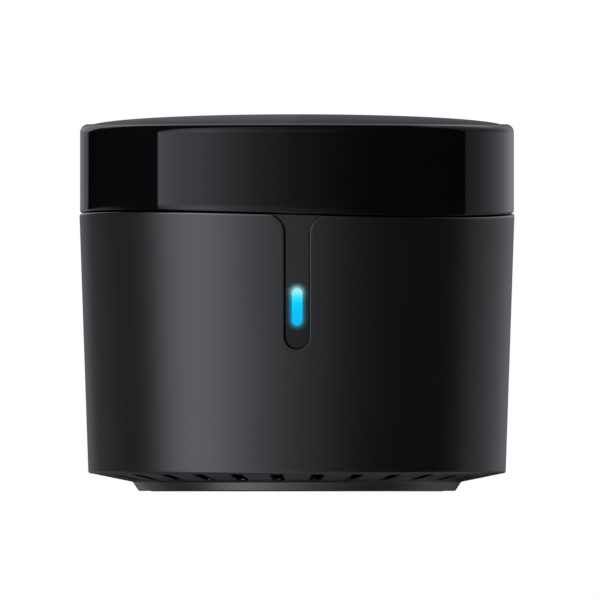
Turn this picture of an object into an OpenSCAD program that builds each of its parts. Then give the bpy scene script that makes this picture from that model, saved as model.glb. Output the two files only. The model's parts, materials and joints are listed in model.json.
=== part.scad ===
// Round infrared blaster hub: a dark gloss cap that lets infrared through, a tapered matt
// body with a light slot at the front, a vented base on a rubber foot, and the two circuit
// boards, light guide, socket and reset key that work inside.
// Z points up from the surface it stands on, and the front faces -Y.

/* [Body] */
// Outer diameter of the body at the seam under the cap
body_top_d = 48; // [45:0.5:54]
// Outer diameter of the body at its lower corner
body_low_d = 46; // [44:0.5:50]
// Height of the body from its lower corner to the seam
body_h = 28.4; // [26:0.2:34]
// Wall thickness of the body
body_wall = 1.6; // [1.4:0.1:1.9]

/* [Cap] */
// Height of the gloss band from the seam to its rim
band_h = 9.8; // [9:0.1:12]
// Rise of the domed crown above the rim
crown_h = 1.17; // [0.6:0.05:2]
// Radius of the rounded rim
rim_r = 0.9; // [0.5:0.1:1.4]
// Shadow gap between body and cap
seam_gap = 0.15; // [0.1:0.05:0.4]
// Thickness of the cap's top
cap_top_wall = 1.6; // [1.2:0.1:2]

/* [Base] */
// Height of the vented cone between foot and body
skirt_h = 1; // [0.8:0.1:1.4]
// Diameter of the foot ring where it meets the vented cone
foot_top_d = 36.2; // [34:0.1:38]
// How far the foot ring draws in towards its lower edge
foot_taper = 0.65; // [0.4:0.05:1]
// Height of the foot ring
foot_h = 1; // [0.8:0.05:1.3]
// Number of vent slots round the base
vent_count = 30; // [18:1:36]
// Width of one vent slot
vent_w = 1.25; // [0.8:0.05:1.5]
// Thickness of the rubber pad
pad_t = 1; // [0.8:0.1:1.2]

/* [Indicator] */
// Width of the slot in the body's front
slot_w = 2.8; // [2.4:0.1:3.4]
// Depth of that slot below the seam
slot_depth = 14.8; // [13:0.2:17]
// Radius of the flares where the slot opens at the seam
flare_r = 1.95; // [1:0.05:2.4]
// Width of the lit window
pill_w = 1.2; // [0.8:0.1:1.5]
// Height of the lit window
pill_h = 4.1; // [3:0.1:5]
// Depth of the window's centre below the seam
pill_depth = 10.15; // [8.5:0.1:11]

/* [Rear] */
// Width of the power socket's metal shell
usb_w = 7.5; // [6.8:0.1:8.4]
// Height of the power socket's metal shell
usb_h = 2.6; // [2.3:0.1:3]
// Diameter of the reset key's face
key_d = 2.4; // [1.8:0.1:2.6]
// Angle of the reset key round from the power socket
key_angle = 28; // [24:1:36]
// Travel of the reset key
key_travel = 0.3; // [0.2:0.05:0.4]

/* [Boards] */
// Thickness of both circuit boards
board_t = 1.2; // [1:0.1:1.6]
// Height of the bosses that carry the main board above the base floor
boss_h = 5; // [4.5:0.1:6]
// Number of infrared emitters round the upper board
emitter_count = 6; // [3:3:6]
// Diameter of an emitter's lens
emitter_d = 5; // [4:0.5:5]

/* [Hidden] */
$fn = 96;
// Overrun of every cut past the face that it goes through
over = 0.5;
// Space between neighbouring parts on a board
part_gap = 0.6;
// Gap between pieces that are pushed together
fit_gap = 0.08;
// Angle of the front, counted from +X
front_angle = -90;
// Angle of the rear, counted from +X
rear_angle = 90;
// Steps in a round stretch of an outline
arc_steps = 8;

// Heights that the outer shape gives
pad_proud = 0.05;
foot_top_z = pad_proud + foot_h;
corner_z = foot_top_z + skirt_h;
seam_z = corner_z + body_h;
band_low_z = seam_z + seam_gap;
rim_z = band_low_z + band_h;

// Radii that the outer shape gives
body_top_r = body_top_d / 2;
body_low_r = body_low_d / 2;
foot_top_r = foot_top_d / 2;
foot_low_r = foot_top_r - foot_taper;
body_draft = (body_top_r - body_low_r) / body_h;
skirt_slope = skirt_h / (body_low_r - foot_top_r);

function body_r(z) = body_low_r + (z - corner_z) * body_draft;
function inner_r(z) = body_r(z) - body_wall;
// Least inner radius between two heights
function least_inner_r(low_z, high_z) = min(inner_r(low_z), inner_r(high_z));
function under_z(r) = foot_top_z + (r - foot_top_r) * skirt_slope;

// Body details
edge_break = 0.2;
rim_wall = 0.9;
ledge_depth = 3.5;
ledge_z = seam_z - ledge_depth;
rim_in_r = min(body_top_r, body_r(ledge_z)) - rim_wall;
base_lip = 0.55;
rabbet_h = 0.9;
rabbet_z = corner_z + rabbet_h;
seat_r = body_low_r - base_lip;
groove_depth = 0.4;
groove_h = 1;
groove_z = ledge_z + ledge_depth / 2;

// Cap details
cap_inset = 0.1;
cap_r = body_top_r - cap_inset;
skirt_gap = 0.1;
skirt_t = 1.15;
skirt_out_r = rim_in_r - skirt_gap;
skirt_in_r = skirt_out_r - skirt_t;
crown_flat = 0.55;
crown_edge_r = cap_r - rim_r - crown_flat;
crown_sink = 0.3;
crown_steps = 16;
cap_ceiling_z = rim_z - cap_top_wall;
bead_out = groove_depth - skirt_gap / 2;
bead_h = groove_h - skirt_gap * 2;
bead_angles = [45, 135, 225, 315];
bead_span = 8;

// Base plate details
floor_t = 1.4;
floor_z = pad_t + floor_t;
foot_lip = 1.2;
pad_r = foot_low_r - foot_lip;
plate_r = seat_r - fit_gap;
vent_in_share = 0.27;
vent_out_share = 0.93;
vent_in_r = foot_top_r + (plate_r - foot_top_r) * vent_in_share;
vent_out_r = foot_top_r + (plate_r - foot_top_r) * vent_out_share;
tab_count = 6;
tab_w = 2.2;
tab_t = 0.9;
tab_h = 2.2;
tab_out_r = least_inner_r(rabbet_z, rabbet_z + tab_h) - fit_gap;
step_r = tab_out_r - tab_t - fit_gap;

// Screws through the base, and the posts that take them
post_count = 3;
post_r = 2.2;
boss_r = 2.9;
screw_head_r = 1.9;
screw_head_h = 1.2;
screw_r = 1;
screw_bite = 5.5;
pilot_gap = 0.03;
screw_pass_gap = 0.15;
head_gap = 0.15;
cross_w = 0.4;
cross_depth = 0.6;
cross_share = 0.6;
head_top_share = 0.75;
head_side_share = 0.55;
tip_share = 0.3;
seat_cover = 0.35;
seat_z = pad_t + seat_cover + screw_head_h;
post_margin = 0.4;
post_at_r = pad_r - post_margin - screw_head_r;
rib_t = 1.1;
rib_drop = 0.5;

// Upper board screws
top_screw_r = 0.8;
top_head_r = 1.5;
top_head_h = 0.9;
top_screw_bite = 5;

// Boards
board_edge_gap = 0.5;
board_low_z = floor_z + boss_h;
board_top_z = board_low_z + board_t;
board_r = least_inner_r(board_low_z, board_top_z) - board_edge_gap;
top_board_drop = 0.55;
top_low_z = seam_z - top_board_drop;
top_top_z = top_low_z + board_t;
top_board_r = skirt_in_r - board_edge_gap;

// Power socket
usb_depth = 5.4;
usb_inset = 0.35;
usb_overhang = 2.4;
usb_sheet = 0.28;
usb_corner = 0.8;
usb_gap = 0.2;
usb_z = board_top_z + usb_h / 2;
usb_mouth_y = body_r(usb_z) - usb_inset;
usb_back_t = 1.3;
usb_tongue_t = 0.6;
usb_tongue_w = 3.7;
usb_tongue_back = 1.1;
usb_tongue_drop = 1.1;
tongue_low = usb_h / 2 - usb_tongue_drop - usb_tongue_t;
contact_count = 5;
contact_w = 0.32;
contact_t = 0.1;
contact_pitch = 0.65;

// Reset key and its switch
key_r = key_d / 2;
key_gap = 0.1;
key_inset = 0.15;
key_lip = 0.45;
key_flange_r = key_r + key_lip;
key_flange_t = 0.8;
key_stem_r = 0.8;
key_stem_l = 1.2;
switch_w = 4.5;
switch_depth = 3.4;
switch_rim = 0.2;
switch_h = 2 * (key_flange_r + switch_rim);
key_z = board_top_z + switch_h / 2;
key_wall_r = least_inner_r(key_z - key_flange_r, key_z + key_flange_r);
flange_u = sqrt(pow(key_wall_r, 2) - pow(key_flange_r, 2)) - fit_gap;
plunger_r = 0.75;
plunger_gap = 0.06;
plunger_out = 0.7;
plunger_u = flange_u - key_flange_t - key_stem_l;
switch_u = plunger_u - plunger_out;
plunger_in = 1.2;
dome_t = 0.12;
dome_spare = 0.1;
dome_rise = key_travel + dome_spare;
dome_knee_shares = [0.5, 0.7];
cover_t = 0.2;
cover_lift_share = 0.33;

// Light strip, guide and shroud
strip_recess = 0.25;
strip_gap = 0.1;
strip_flange_t = 1;
strip_side = 2.4;
slot_low_z = seam_z - slot_depth;
strip_low_share = 0.37;
strip_low_z = slot_low_z - (slot_low_z - board_top_z) * strip_low_share;
pill_z = seam_z - pill_depth;
pill_gap = 0.04;
pill_sink = 0.04;
guide_t = 2.4;
guide_side_t = 0.2;
guide_w = pill_w + 2 * guide_side_t;
guide_low_gap = 0.3;
status_h = 0.6;
status_w = 1.6;
status_d = 0.8;
guide_front = least_inner_r(strip_low_z, ledge_z) - strip_flange_t - fit_gap * 2;
guide_low_z = board_top_z + status_h + guide_low_gap;
guide_head = 0.4;
shroud_t = 0.8;
shroud_gap = 0.1;
shroud_top_z = pill_z + pill_h / 2 + guide_head + shroud_gap + shroud_t;

// Flat cable between the boards, and its sockets
cable_w = 5;
cable_t = 0.3;
cable_bow = 1.6;
cable_steps = 20;
cable_plug = 1.2;
socket_w = 7;
socket_d = 2.6;
socket_h = 2;
socket_edge = 2.4;
cable_x = -(min(board_r, top_board_r) - socket_edge - socket_d / 2);

// Infrared emitters and receiver
emitter_r = emitter_d / 2;
emitter_l = 8.6;
emitter_lip = 0.4;
emitter_flange_r = emitter_r + emitter_lip;
emitter_flange_t = 1;
emitter_tip_gap = 0.5;
emitter_tip_u = skirt_in_r - emitter_tip_gap;
emitter_back_u = emitter_tip_u - emitter_l;
emitter_z = top_top_z + emitter_flange_r + fit_gap;
lead_r = 0.25;
lead_gap = 0.1;
lead_pitch = 2.54;
lead_run = 1.2;
lead_tail = 0.8;
crown_emitter_r = 1.5;
crown_emitter_l = 5;
crown_emitter_lip = 0.25;
receiver_w = 5;
receiver_d = 3.2;
receiver_h = 5.6;
receiver_lens_r = 1.7;
receiver_angle = -60;
receiver_in = 3.4;
receiver_u = top_board_r - receiver_in - receiver_d;
cage_t = 0.25;
cage_gap = 0.05;

// Radio module
radio_w = 11.6;
radio_l = 15.4;
radio_t = 0.8;
radio_can_edge = 0.8;
antenna_l = 2.6;
radio_can_l = radio_l - antenna_l - 3 * radio_can_edge;
radio_can_h = 1.8;
radio_can_t = 0.2;
radio_at_share = [0.128, -0.24];
antenna_t = 0.1;
antenna_w = 0.5;
antenna_turns = 4;
chip_h = 0.9;

// Other parts on the main board, placed as shares of its radius
coil_w = 4.6;
coil_h = 2.4;
coil_chamfer = 0.5;
coil_at_share = [0, 0.53];
regulator_w = 3.9;
regulator_l = 4.9;
regulator_h = 1.4;
regulator_at_share = [0.42, 0.36];
can_r = 2.8;
can_h = 5.4;
can_groove = 0.25;
can_groove_shares = [0.15, 0.22, 0.29];
can_base_h = 0.8;
can_base_w = 6;
can_spread = socket_w / 2 + fit_gap;
ceramic_at_share = [[0.62, -0.42], [0.7, -0.3], [0.5, -0.62], [0.23, 0.6]];
small_l = 1.6;
small_w = 0.8;
small_h = 0.8;
crystal_l = 3.2;
crystal_w = 2.5;
crystal_h = 0.8;

// Driver parts on the upper board, placed as shares of its radius
driver_l = 2.9;
driver_w = 1.5;
driver_h = 1.1;
driver_ring_share = 0.3;
resistor_ring_share = 0.42;

// Points of a round stretch about [cx, cy] from angle a0 to angle a1
function arc(cx, cy, r, a0, a1, steps) =
    [for (i = [0:steps]) let (a = a0 + (a1 - a0) * i / steps) [cx + r * cos(a), cy + r * sin(a)]];

// Places its children at each post
module at_posts() {
    for (i = [0:post_count - 1])
        rotate([0, 0, i * 360 / post_count])
            translate([post_at_r, 0, 0])
                children();
}

// Turns +X to the reset key's direction
module at_key() {
    rotate([0, 0, rear_angle - key_angle])
        children();
}

// Places its children at a share of a board's radius
module at_share(share, r) {
    translate([share[0] * r, share[1] * r, 0])
        children();
}

// Round bar that lies along +X from u0 to u1 at height z
module bar_u(u0, u1, z, r) {
    translate([u0, 0, z])
        rotate([0, 90, 0])
            cylinder(h = u1 - u0, r = r);
}

// Cap

// The crown is the top of an ellipse whose centre lies crown_sink under the rim
function crown_points() =
    let (
        up = crown_h + crown_sink,
        start = asin(crown_sink / up),
        across = crown_edge_r / cos(start)
    )
    [for (i = [0:crown_steps]) let (a = start + (90 - start) * i / crown_steps)
        [across * cos(a), rim_z - crown_sink + up * sin(a)]];

module cap_profile() {
    polygon(concat(
        [[skirt_in_r, ledge_z], [skirt_out_r, ledge_z], [skirt_out_r, band_low_z]],
        [[cap_r - edge_break, band_low_z], [cap_r, band_low_z + edge_break]],
        arc(cap_r - rim_r, rim_z - rim_r, rim_r, 0, 90, arc_steps),
        crown_points(),
        [[0, cap_ceiling_z], [skirt_in_r, cap_ceiling_z]]
    ));
}

// Short beads on the skirt that snap into the body's groove
module cap_beads() {
    for (a = bead_angles)
        rotate([0, 0, a])
            intersection() {
                rotate_extrude()
                    polygon([
                        [skirt_out_r - skirt_t / 2, groove_z - bead_h / 2],
                        [skirt_out_r, groove_z - bead_h / 2],
                        [skirt_out_r + bead_out, groove_z],
                        [skirt_out_r, groove_z + bead_h / 2],
                        [skirt_out_r - skirt_t / 2, groove_z + bead_h / 2]
                    ]);
                translate([0, -bead_span / 2, groove_z - bead_h])
                    cube([body_top_d, bead_span, 2 * bead_h]);
            }
}

module cap() {
    color("#101012") union() {
        rotate_extrude()
            cap_profile();
        cap_beads();
    }
}

// Body shell

module body_profile() {
    polygon([
        [body_low_r - edge_break, under_z(body_low_r - edge_break)],
        [body_r(corner_z + edge_break), corner_z + edge_break],
        [body_r(seam_z - edge_break), seam_z - edge_break],
        [body_top_r - edge_break, seam_z],
        [rim_in_r, seam_z],
        [rim_in_r, groove_z + groove_h / 2],
        [rim_in_r + groove_depth, groove_z],
        [rim_in_r, groove_z - groove_h / 2],
        [rim_in_r, ledge_z],
        [inner_r(ledge_z), ledge_z],
        [inner_r(rabbet_z), rabbet_z],
        [seat_r, rabbet_z],
        [seat_r, under_z(seat_r)]
    ]);
}

// Outline of the front slot, widened by grow and cut off at top
function slot_points(grow, top) =
    let (side = slot_w / 2 + flare_r, flare_z = seam_z - flare_r)
    concat(
        [[side, top], [-side, top]],
        arc(-side, flare_z, flare_r - grow, 90, 0, arc_steps),
        arc(0, slot_low_z + slot_w / 2, slot_w / 2 + grow, 180, 360, 2 * arc_steps),
        arc(side, flare_z, flare_r - grow, 180, 90, arc_steps)
    );

// Pushes an outline in X and Z out of the front from y = -near to y = -far
module front_extrude(near, far) {
    translate([0, -near, 0])
        rotate([90, 0, 0])
            linear_extrude(height = far - near)
                children();
}

// Round-ended upright window outline, widened by grow
module pill_outline(grow) {
    r = pill_w / 2 + grow;
    reach = pill_h / 2 - pill_w / 2;
    polygon(concat(
        arc(0, pill_z + reach, r, 0, 180, 2 * arc_steps),
        arc(0, pill_z - reach, r, 180, 360, 2 * arc_steps)
    ));
}

// Outline of the power socket: a rectangle with its two lower corners cut
module usb_outline(shrink) {
    w = usb_w / 2 - shrink;
    h = usb_h / 2 - shrink;
    c = usb_corner;
    polygon([[-w, h], [w, h], [w, -h + c], [w - c, -h], [-w + c, -h], [-w, -h + c]]);
}

// Pushes an outline in X and Z back from the socket's mouth
module usb_extrude(from_mouth, depth) {
    translate([0, usb_mouth_y - from_mouth, usb_z])
        rotate([90, 0, 0])
            linear_extrude(height = depth)
                children();
}

module body_posts() {
    intersection() {
        at_posts() {
            translate([0, 0, board_top_z])
                cylinder(h = top_low_z - board_top_z, r = post_r);
            translate([0, -rib_t / 2, board_top_z])
                cube([body_top_r, rib_t, ledge_z - rib_drop - board_top_z]);
        }
        translate([0, 0, board_top_z])
            cylinder(
                h = top_low_z - board_top_z,
                r1 = inner_r(board_top_z) + body_wall / 2,
                r2 = inner_r(top_low_z) + body_wall / 2
            );
    }
}

module body_shell() {
    color("#37373c") difference() {
        union() {
            rotate_extrude()
                body_profile();
            body_posts();
        }
        front_extrude(least_inner_r(strip_low_z, seam_z) - body_wall, body_top_d)
            polygon(slot_points(0, seam_z + over));
        usb_extrude(-body_wall, usb_depth)
            usb_outline(-usb_gap);
        at_key()
            bar_u(inner_r(key_z) - over, body_top_r + over, key_z, key_r + key_gap);
        at_posts() {
            translate([0, 0, board_top_z - over])
                cylinder(h = screw_bite + 2 * over, r = screw_r + pilot_gap);
            translate([0, 0, top_low_z - top_screw_bite - over])
                cylinder(h = top_screw_bite + 2 * over, r = top_screw_r + pilot_gap);
        }
    }
}

// Base

module base_profile() {
    polygon([
        [0, pad_t],
        [pad_r + fit_gap, pad_t],
        [pad_r + fit_gap, pad_proud],
        [foot_low_r - edge_break, pad_proud],
        [foot_low_r, pad_proud + edge_break],
        [foot_top_r, foot_top_z],
        [plate_r, under_z(plate_r)],
        [plate_r, rabbet_z],
        [step_r, rabbet_z],
        [vent_in_r, floor_z],
        [0, floor_z]
    ]);
}

module vent_slots() {
    for (i = [0:vent_count - 1])
        rotate([0, 0, front_angle + (i + 0.5) * 360 / vent_count])
            translate([vent_in_r, -vent_w / 2, pad_proud])
                cube([vent_out_r - vent_in_r, vent_w, rabbet_z - pad_proud + over]);
}

// Tabs between the slots that centre the plate in the body
module base_tabs() {
    for (i = [0:tab_count - 1])
        rotate([0, 0, front_angle + round(i * vent_count / tab_count) * 360 / vent_count])
            intersection() {
                translate([0, -tab_w / 2, rabbet_z - tab_t])
                    cube([tab_out_r, tab_w, tab_t + tab_h]);
                translate([0, 0, rabbet_z - tab_t])
                    difference() {
                        cylinder(h = tab_t + tab_h, r = tab_out_r);
                        translate([0, 0, -over])
                            cylinder(h = tab_t + tab_h + 2 * over, r = tab_out_r - tab_t);
                    }
            }
}

module base_plate() {
    color("#2f2f33") difference() {
        union() {
            difference() {
                rotate_extrude()
                    base_profile();
                vent_slots();
            }
            base_tabs();
            at_posts()
                translate([0, 0, floor_z - floor_t / 2])
                    cylinder(h = board_low_z - floor_z + floor_t / 2, r = boss_r);
        }
        at_posts() {
            translate([0, 0, pad_t - over])
                cylinder(h = seat_z - pad_t + over, r = screw_head_r + head_gap);
            cylinder(h = board_top_z, r = screw_r + screw_pass_gap);
        }
    }
}

module foot_pad() {
    color("#1b1b1c") rotate_extrude()
        polygon([
            [0, 0],
            [pad_r - edge_break, 0],
            [pad_r, edge_break],
            [pad_r, pad_t],
            [0, pad_t]
        ]);
}

// Cross recess for a driver, cut down from z = 0
module cross_recess(head_r) {
    for (a = [0, 90])
        rotate([0, 0, a])
            translate([-head_r * cross_share, -cross_w / 2, -cross_depth])
                cube([2 * head_r * cross_share, cross_w, cross_depth + over]);
}

// Screw with its head's top at z = 0 and its shank down to -head_h - shank_l
module screw(head_r, head_h, shank_r, shank_l) {
    difference() {
        rotate_extrude()
            polygon([
                [0, 0],
                [head_r * head_top_share, 0],
                [head_r, -head_h * (1 - head_side_share)],
                [head_r, -head_h],
                [shank_r, -head_h],
                [shank_r, -head_h - shank_l + shank_r],
                [shank_r * tip_share, -head_h - shank_l],
                [0, -head_h - shank_l]
            ]);
        cross_recess(head_r);
    }
}

module base_screws() {
    color("silver") at_posts()
        translate([0, 0, seat_z - screw_head_h])
            rotate([180, 0, 0])
                screw(screw_head_r, screw_head_h, screw_r, board_top_z - seat_z + screw_bite);
}

// Light strip, guide and shroud

// Cone that follows the body's outer face, moved in by inset
module body_cone(inset, low_z, high_z) {
    translate([0, 0, low_z])
        cylinder(h = high_z - low_z, r1 = body_r(low_z) - inset, r2 = body_r(high_z) - inset);
}

module light_strip() {
    color("#2a2a2c") difference() {
        union() {
            intersection() {
                front_extrude(guide_front, body_top_d)
                    polygon(slot_points(-strip_gap, seam_z + over));
                difference() {
                    body_cone(strip_recess, strip_low_z, seam_z);
                    body_cone(body_wall + strip_flange_t / 2, strip_low_z - over, ledge_z);
                    translate([0, 0, ledge_z - over])
                        cylinder(h = ledge_depth + 2 * over, r = rim_in_r);
                }
            }
            intersection() {
                translate([-slot_w / 2 - strip_side, -body_top_d, strip_low_z])
                    cube([slot_w + 2 * strip_side, body_top_d, ledge_z - fit_gap - strip_low_z]);
                difference() {
                    body_cone(body_wall + fit_gap, strip_low_z, ledge_z);
                    body_cone(body_wall + strip_flange_t, strip_low_z - over, ledge_z + over);
                }
            }
        }
        front_extrude(guide_front - guide_t, body_top_d)
            pill_outline(pill_gap);
    }
}

// Side view of the guide's bar, with the slanted face that turns the light forward
module guide_side() {
    polygon([
        [guide_front - guide_t, guide_low_z],
        [guide_front, guide_low_z],
        [guide_front, pill_z + pill_h / 2 + guide_head],
        [guide_front - guide_t / 2, pill_z + pill_h / 2 + guide_head],
        [guide_front - guide_t, pill_z - pill_h / 2]
    ]);
}

module light_guide() {
    color("#bfe9ff") union() {
        rotate([0, 0, front_angle])
            rotate([90, 0, 0])
                translate([0, 0, -guide_w / 2])
                    linear_extrude(height = guide_w)
                        guide_side();
        intersection() {
            front_extrude(guide_front - guide_t / 2, body_top_d)
                pill_outline(0);
            body_cone(strip_recess + pill_sink, strip_low_z, seam_z);
        }
    }
}

module light_shroud() {
    half_w = guide_w / 2 + shroud_gap + shroud_t;
    back = guide_front - guide_t - shroud_gap - shroud_t;
    color("#e8e8e4") difference() {
        translate([-half_w, -guide_front, board_top_z])
            cube([2 * half_w, guide_front - back, shroud_top_z - board_top_z]);
        translate([-half_w + shroud_t, -guide_front - over, board_top_z - over])
            cube([
                2 * (half_w - shroud_t),
                guide_t + shroud_gap + over,
                shroud_top_z - shroud_t - board_top_z + over
            ]);
    }
}

module status_leds() {
    color("#f5f2d0")
        translate([-status_w / 2, -guide_front + guide_t / 2 - status_d / 2, board_top_z])
            cube([status_w, status_d, status_h]);
}

// Main board and its power socket

module main_board() {
    color("#1f6b3a") difference() {
        translate([0, 0, board_low_z])
            cylinder(h = board_t, r = board_r);
        translate([-body_top_r, usb_mouth_y - usb_overhang, board_low_z - over])
            cube([body_top_d, body_top_r, board_t + 2 * over]);
        at_posts()
            translate([0, 0, board_low_z - over])
                cylinder(h = board_t + 2 * over, r = screw_r + screw_pass_gap);
    }
}

module usb_shell() {
    color("#c9cbce") difference() {
        usb_extrude(0, usb_depth)
            usb_outline(0);
        usb_extrude(-over, usb_depth - usb_sheet + over)
            usb_outline(usb_sheet);
    }
}

module usb_insert() {
    color("#151515") union() {
        usb_extrude(usb_depth - usb_sheet - usb_back_t, usb_back_t)
            usb_outline(usb_sheet + fit_gap);
        usb_extrude(usb_tongue_back, usb_depth - usb_sheet - usb_tongue_back)
            translate([-usb_tongue_w / 2, tongue_low])
                square([usb_tongue_w, usb_tongue_t]);
    }
}

module usb_contacts() {
    contact_l = usb_depth - 2 * usb_sheet - usb_tongue_back - usb_back_t;
    color("gold") usb_extrude(usb_tongue_back + usb_sheet, contact_l)
        for (i = [0:contact_count - 1])
            translate([
                (i - (contact_count - 1) / 2) * contact_pitch - contact_w / 2,
                tongue_low - contact_t
            ])
                square([contact_w, contact_t]);
}

// Reset key and its switch

module reset_key() {
    color("#2b2b2e") at_key() union() {
        intersection() {
            bar_u(flange_u - key_flange_t / 2, body_top_r, key_z, key_r);
            body_cone(key_inset, board_top_z, ledge_z);
        }
        bar_u(flange_u - key_flange_t, flange_u, key_z, key_flange_r);
        bar_u(plunger_u, flange_u - key_flange_t / 2, key_z, key_stem_r);
    }
}

module switch_plunger() {
    color("#d8d2c4") at_key()
        bar_u(switch_u - plunger_in, plunger_u, key_z, plunger_r);
}

module switch_body() {
    color("#202020") at_key() difference() {
        translate([switch_u - switch_depth, -switch_w / 2, board_top_z])
            cube([switch_depth, switch_w, switch_h]);
        bar_u(switch_u - plunger_in - dome_rise - dome_t, switch_u + over, key_z, plunger_r + plunger_gap);
    }
}

// Bent steel cover over the switch's top and back
module switch_cover() {
    back_u = switch_u - switch_depth;
    color("#b9bcc0") at_key() union() {
        translate([back_u - cover_t, -switch_w / 2, board_top_z + switch_h])
            cube([switch_depth + cover_t, switch_w, cover_t]);
        translate([back_u - cover_t, -switch_w / 2, board_top_z + switch_h * cover_lift_share])
            cube([cover_t, switch_w, switch_h * (1 - cover_lift_share) + cover_t / 2]);
    }
}

// Shallow snap disc that pushes the plunger back
module switch_dome() {
    seat_u = switch_u - plunger_in - dome_rise - dome_t;
    color("#d9d2a8") at_key()
        translate([seat_u, 0, key_z])
            rotate([0, 90, 0])
                rotate_extrude()
                    polygon([
                        [0, dome_rise],
                        [plunger_r * dome_knee_shares[0], dome_rise * dome_knee_shares[1]],
                        [plunger_r, 0],
                        [plunger_r, dome_t],
                        [plunger_r * dome_knee_shares[0], dome_rise * dome_knee_shares[1] + dome_t],
                        [0, dome_rise + dome_t]
                    ]);
}

// Radio module

module on_main_board(share) {
    at_share(share, board_r)
        translate([0, 0, board_top_z])
            children();
}

module radio_board() {
    color("#12406b") on_main_board(radio_at_share)
        translate([-radio_w / 2, -radio_l / 2, 0])
            cube([radio_w, radio_l, radio_t]);
}

module radio_can() {
    w = radio_w - 2 * radio_can_edge;
    color("#b8bbbf") on_main_board(radio_at_share)
        translate([-w / 2, radio_l / 2 - radio_can_edge - radio_can_l, radio_t])
            difference() {
                cube([w, radio_can_l, radio_can_h]);
                translate([radio_can_t, radio_can_t, -over])
                    cube([
                        w - 2 * radio_can_t,
                        radio_can_l - 2 * radio_can_t,
                        radio_can_h - radio_can_t + over
                    ]);
            }
}

module radio_chip() {
    chip_w = radio_can_l / 2;
    color("#1a1a1a") on_main_board(radio_at_share)
        translate([-chip_w / 2, radio_l / 2 - radio_can_edge - radio_can_l / 2 - chip_w / 2, radio_t])
            cube([chip_w, chip_w, chip_h]);
}

// Printed aerial: one comb-shaped copper track at the module's open end
module radio_antenna() {
    span = radio_w - 2 * radio_can_edge - antenna_w;
    step = span / (2 * antenna_turns);
    color("#c98f3c") on_main_board(radio_at_share)
        translate([-span / 2 - antenna_w / 2, -radio_l / 2 + radio_can_edge, radio_t])
            union() {
                for (i = [0:2 * antenna_turns])
                    translate([i * step, 0, 0])
                        cube([antenna_w, antenna_l, antenna_t]);
                for (i = [0:2 * antenna_turns - 1])
                    translate([i * step, (i % 2) * (antenna_l - antenna_w), 0])
                        cube([step + antenna_w, antenna_w, antenna_t]);
            }
}

// Power parts

module power_coil() {
    color("#5a5a5e") on_main_board(coil_at_share)
        linear_extrude(height = coil_h)
            polygon([
                for (s = [[1, 1], [-1, 1], [-1, -1], [1, -1]])
                    for (k = s[0] * s[1] > 0 ? [0, 1] : [1, 0])
                        [
                            s[0] * (coil_w / 2 - k * coil_chamfer),
                            s[1] * (coil_w / 2 - (1 - k) * coil_chamfer)
                        ]
            ]);
}

module regulator() {
    color("#1a1a1a") on_main_board(regulator_at_share)
        translate([-regulator_w / 2, -regulator_l / 2, 0])
            cube([regulator_w, regulator_l, regulator_h]);
}

// Places its children at both storage capacitors, past the crystal
module at_storage() {
    on_main_board(radio_at_share)
        for (s = [-1, 1])
            translate([
                -radio_w / 2 - crystal_l - 3 * part_gap - can_base_w / 2,
                s * (can_base_w / 2 + can_spread) - radio_at_share[1] * board_r,
                0
            ])
                children();
}

module storage_capacitors() {
    color("#c4c6c9") at_storage()
        translate([0, 0, can_base_h])
            rotate_extrude()
                polygon([
                    [0, 0],
                    [can_r, 0],
                    [can_r, can_h * can_groove_shares[0]],
                    [can_r - can_groove, can_h * can_groove_shares[1]],
                    [can_r, can_h * can_groove_shares[2]],
                    [can_r, can_h - can_groove],
                    [can_r - can_groove, can_h],
                    [0, can_h]
                ]);
}

module capacitor_bases() {
    color("#151515") at_storage()
        translate([-can_base_w / 2, -can_base_w / 2, 0])
            cube([can_base_w, can_base_w, can_base_h]);
}

module ceramic_capacitor() {
    translate([-small_l / 2, -small_w / 2, 0])
        cube([small_l, small_w, small_h]);
}

// Loose ones about the board, and two at the ends of the radio module
module ceramic_capacitors() {
    color("#b08a5a") union() {
        for (share = ceramic_at_share)
            on_main_board(share)
                ceramic_capacitor();
        on_main_board(radio_at_share)
            for (s = [-1, 1])
                translate([-radio_w / 2 + small_l, s * (radio_l / 2 + part_gap + small_w / 2), 0])
                    ceramic_capacitor();
    }
}

// The crystal lies beside the radio module
module crystal() {
    color("#c9c9cc") on_main_board(radio_at_share)
        translate([-radio_w / 2 - part_gap - crystal_l, radio_l / 2 - crystal_w - radio_can_l / 2, 0])
            cube([crystal_l, crystal_w, crystal_h]);
}

// Flat cable between the boards

cable_low_z = board_top_z + socket_h - cable_plug;
cable_high_z = top_low_z - socket_h + cable_plug;

// The cable bows towards the middle and runs straight where it enters each socket
function cable_x_at(t) = cable_x + cable_bow * pow(sin(180 * t), 2);

module flat_cable() {
    free_low = board_top_z + socket_h;
    free_high = top_low_z - socket_h;
    side = [for (i = [0:cable_steps]) let (t = i / cable_steps)
        [cable_x_at(t), free_low + (free_high - free_low) * t]];
    path = concat([[cable_x, cable_low_z]], side, [[cable_x, cable_high_z]]);
    count = len(path);
    color("#e6e6e0") translate([0, cable_w / 2, 0])
        rotate([90, 0, 0])
            linear_extrude(height = cable_w)
                polygon(concat(
                    [for (p = path) [p[0] - cable_t / 2, p[1]]],
                    [for (i = [count - 1:-1:0]) [path[i][0] + cable_t / 2, path[i][1]]]
                ));
}

// Socket that opens upwards from z = 0 to socket_h
module cable_socket() {
    difference() {
        translate([-socket_d / 2, -socket_w / 2, 0])
            cube([socket_d, socket_w, socket_h]);
        translate([-cable_t / 2 - fit_gap, -cable_w / 2 - fit_gap, socket_h - cable_plug])
            cube([cable_t + 2 * fit_gap, cable_w + 2 * fit_gap, cable_plug + over]);
    }
}

module lower_cable_socket() {
    color("#efece2") translate([cable_x, 0, board_top_z])
        cable_socket();
}

module upper_cable_socket() {
    color("#efece2") translate([cable_x, 0, top_low_z])
        rotate([180, 0, 0])
            cable_socket();
}

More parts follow.
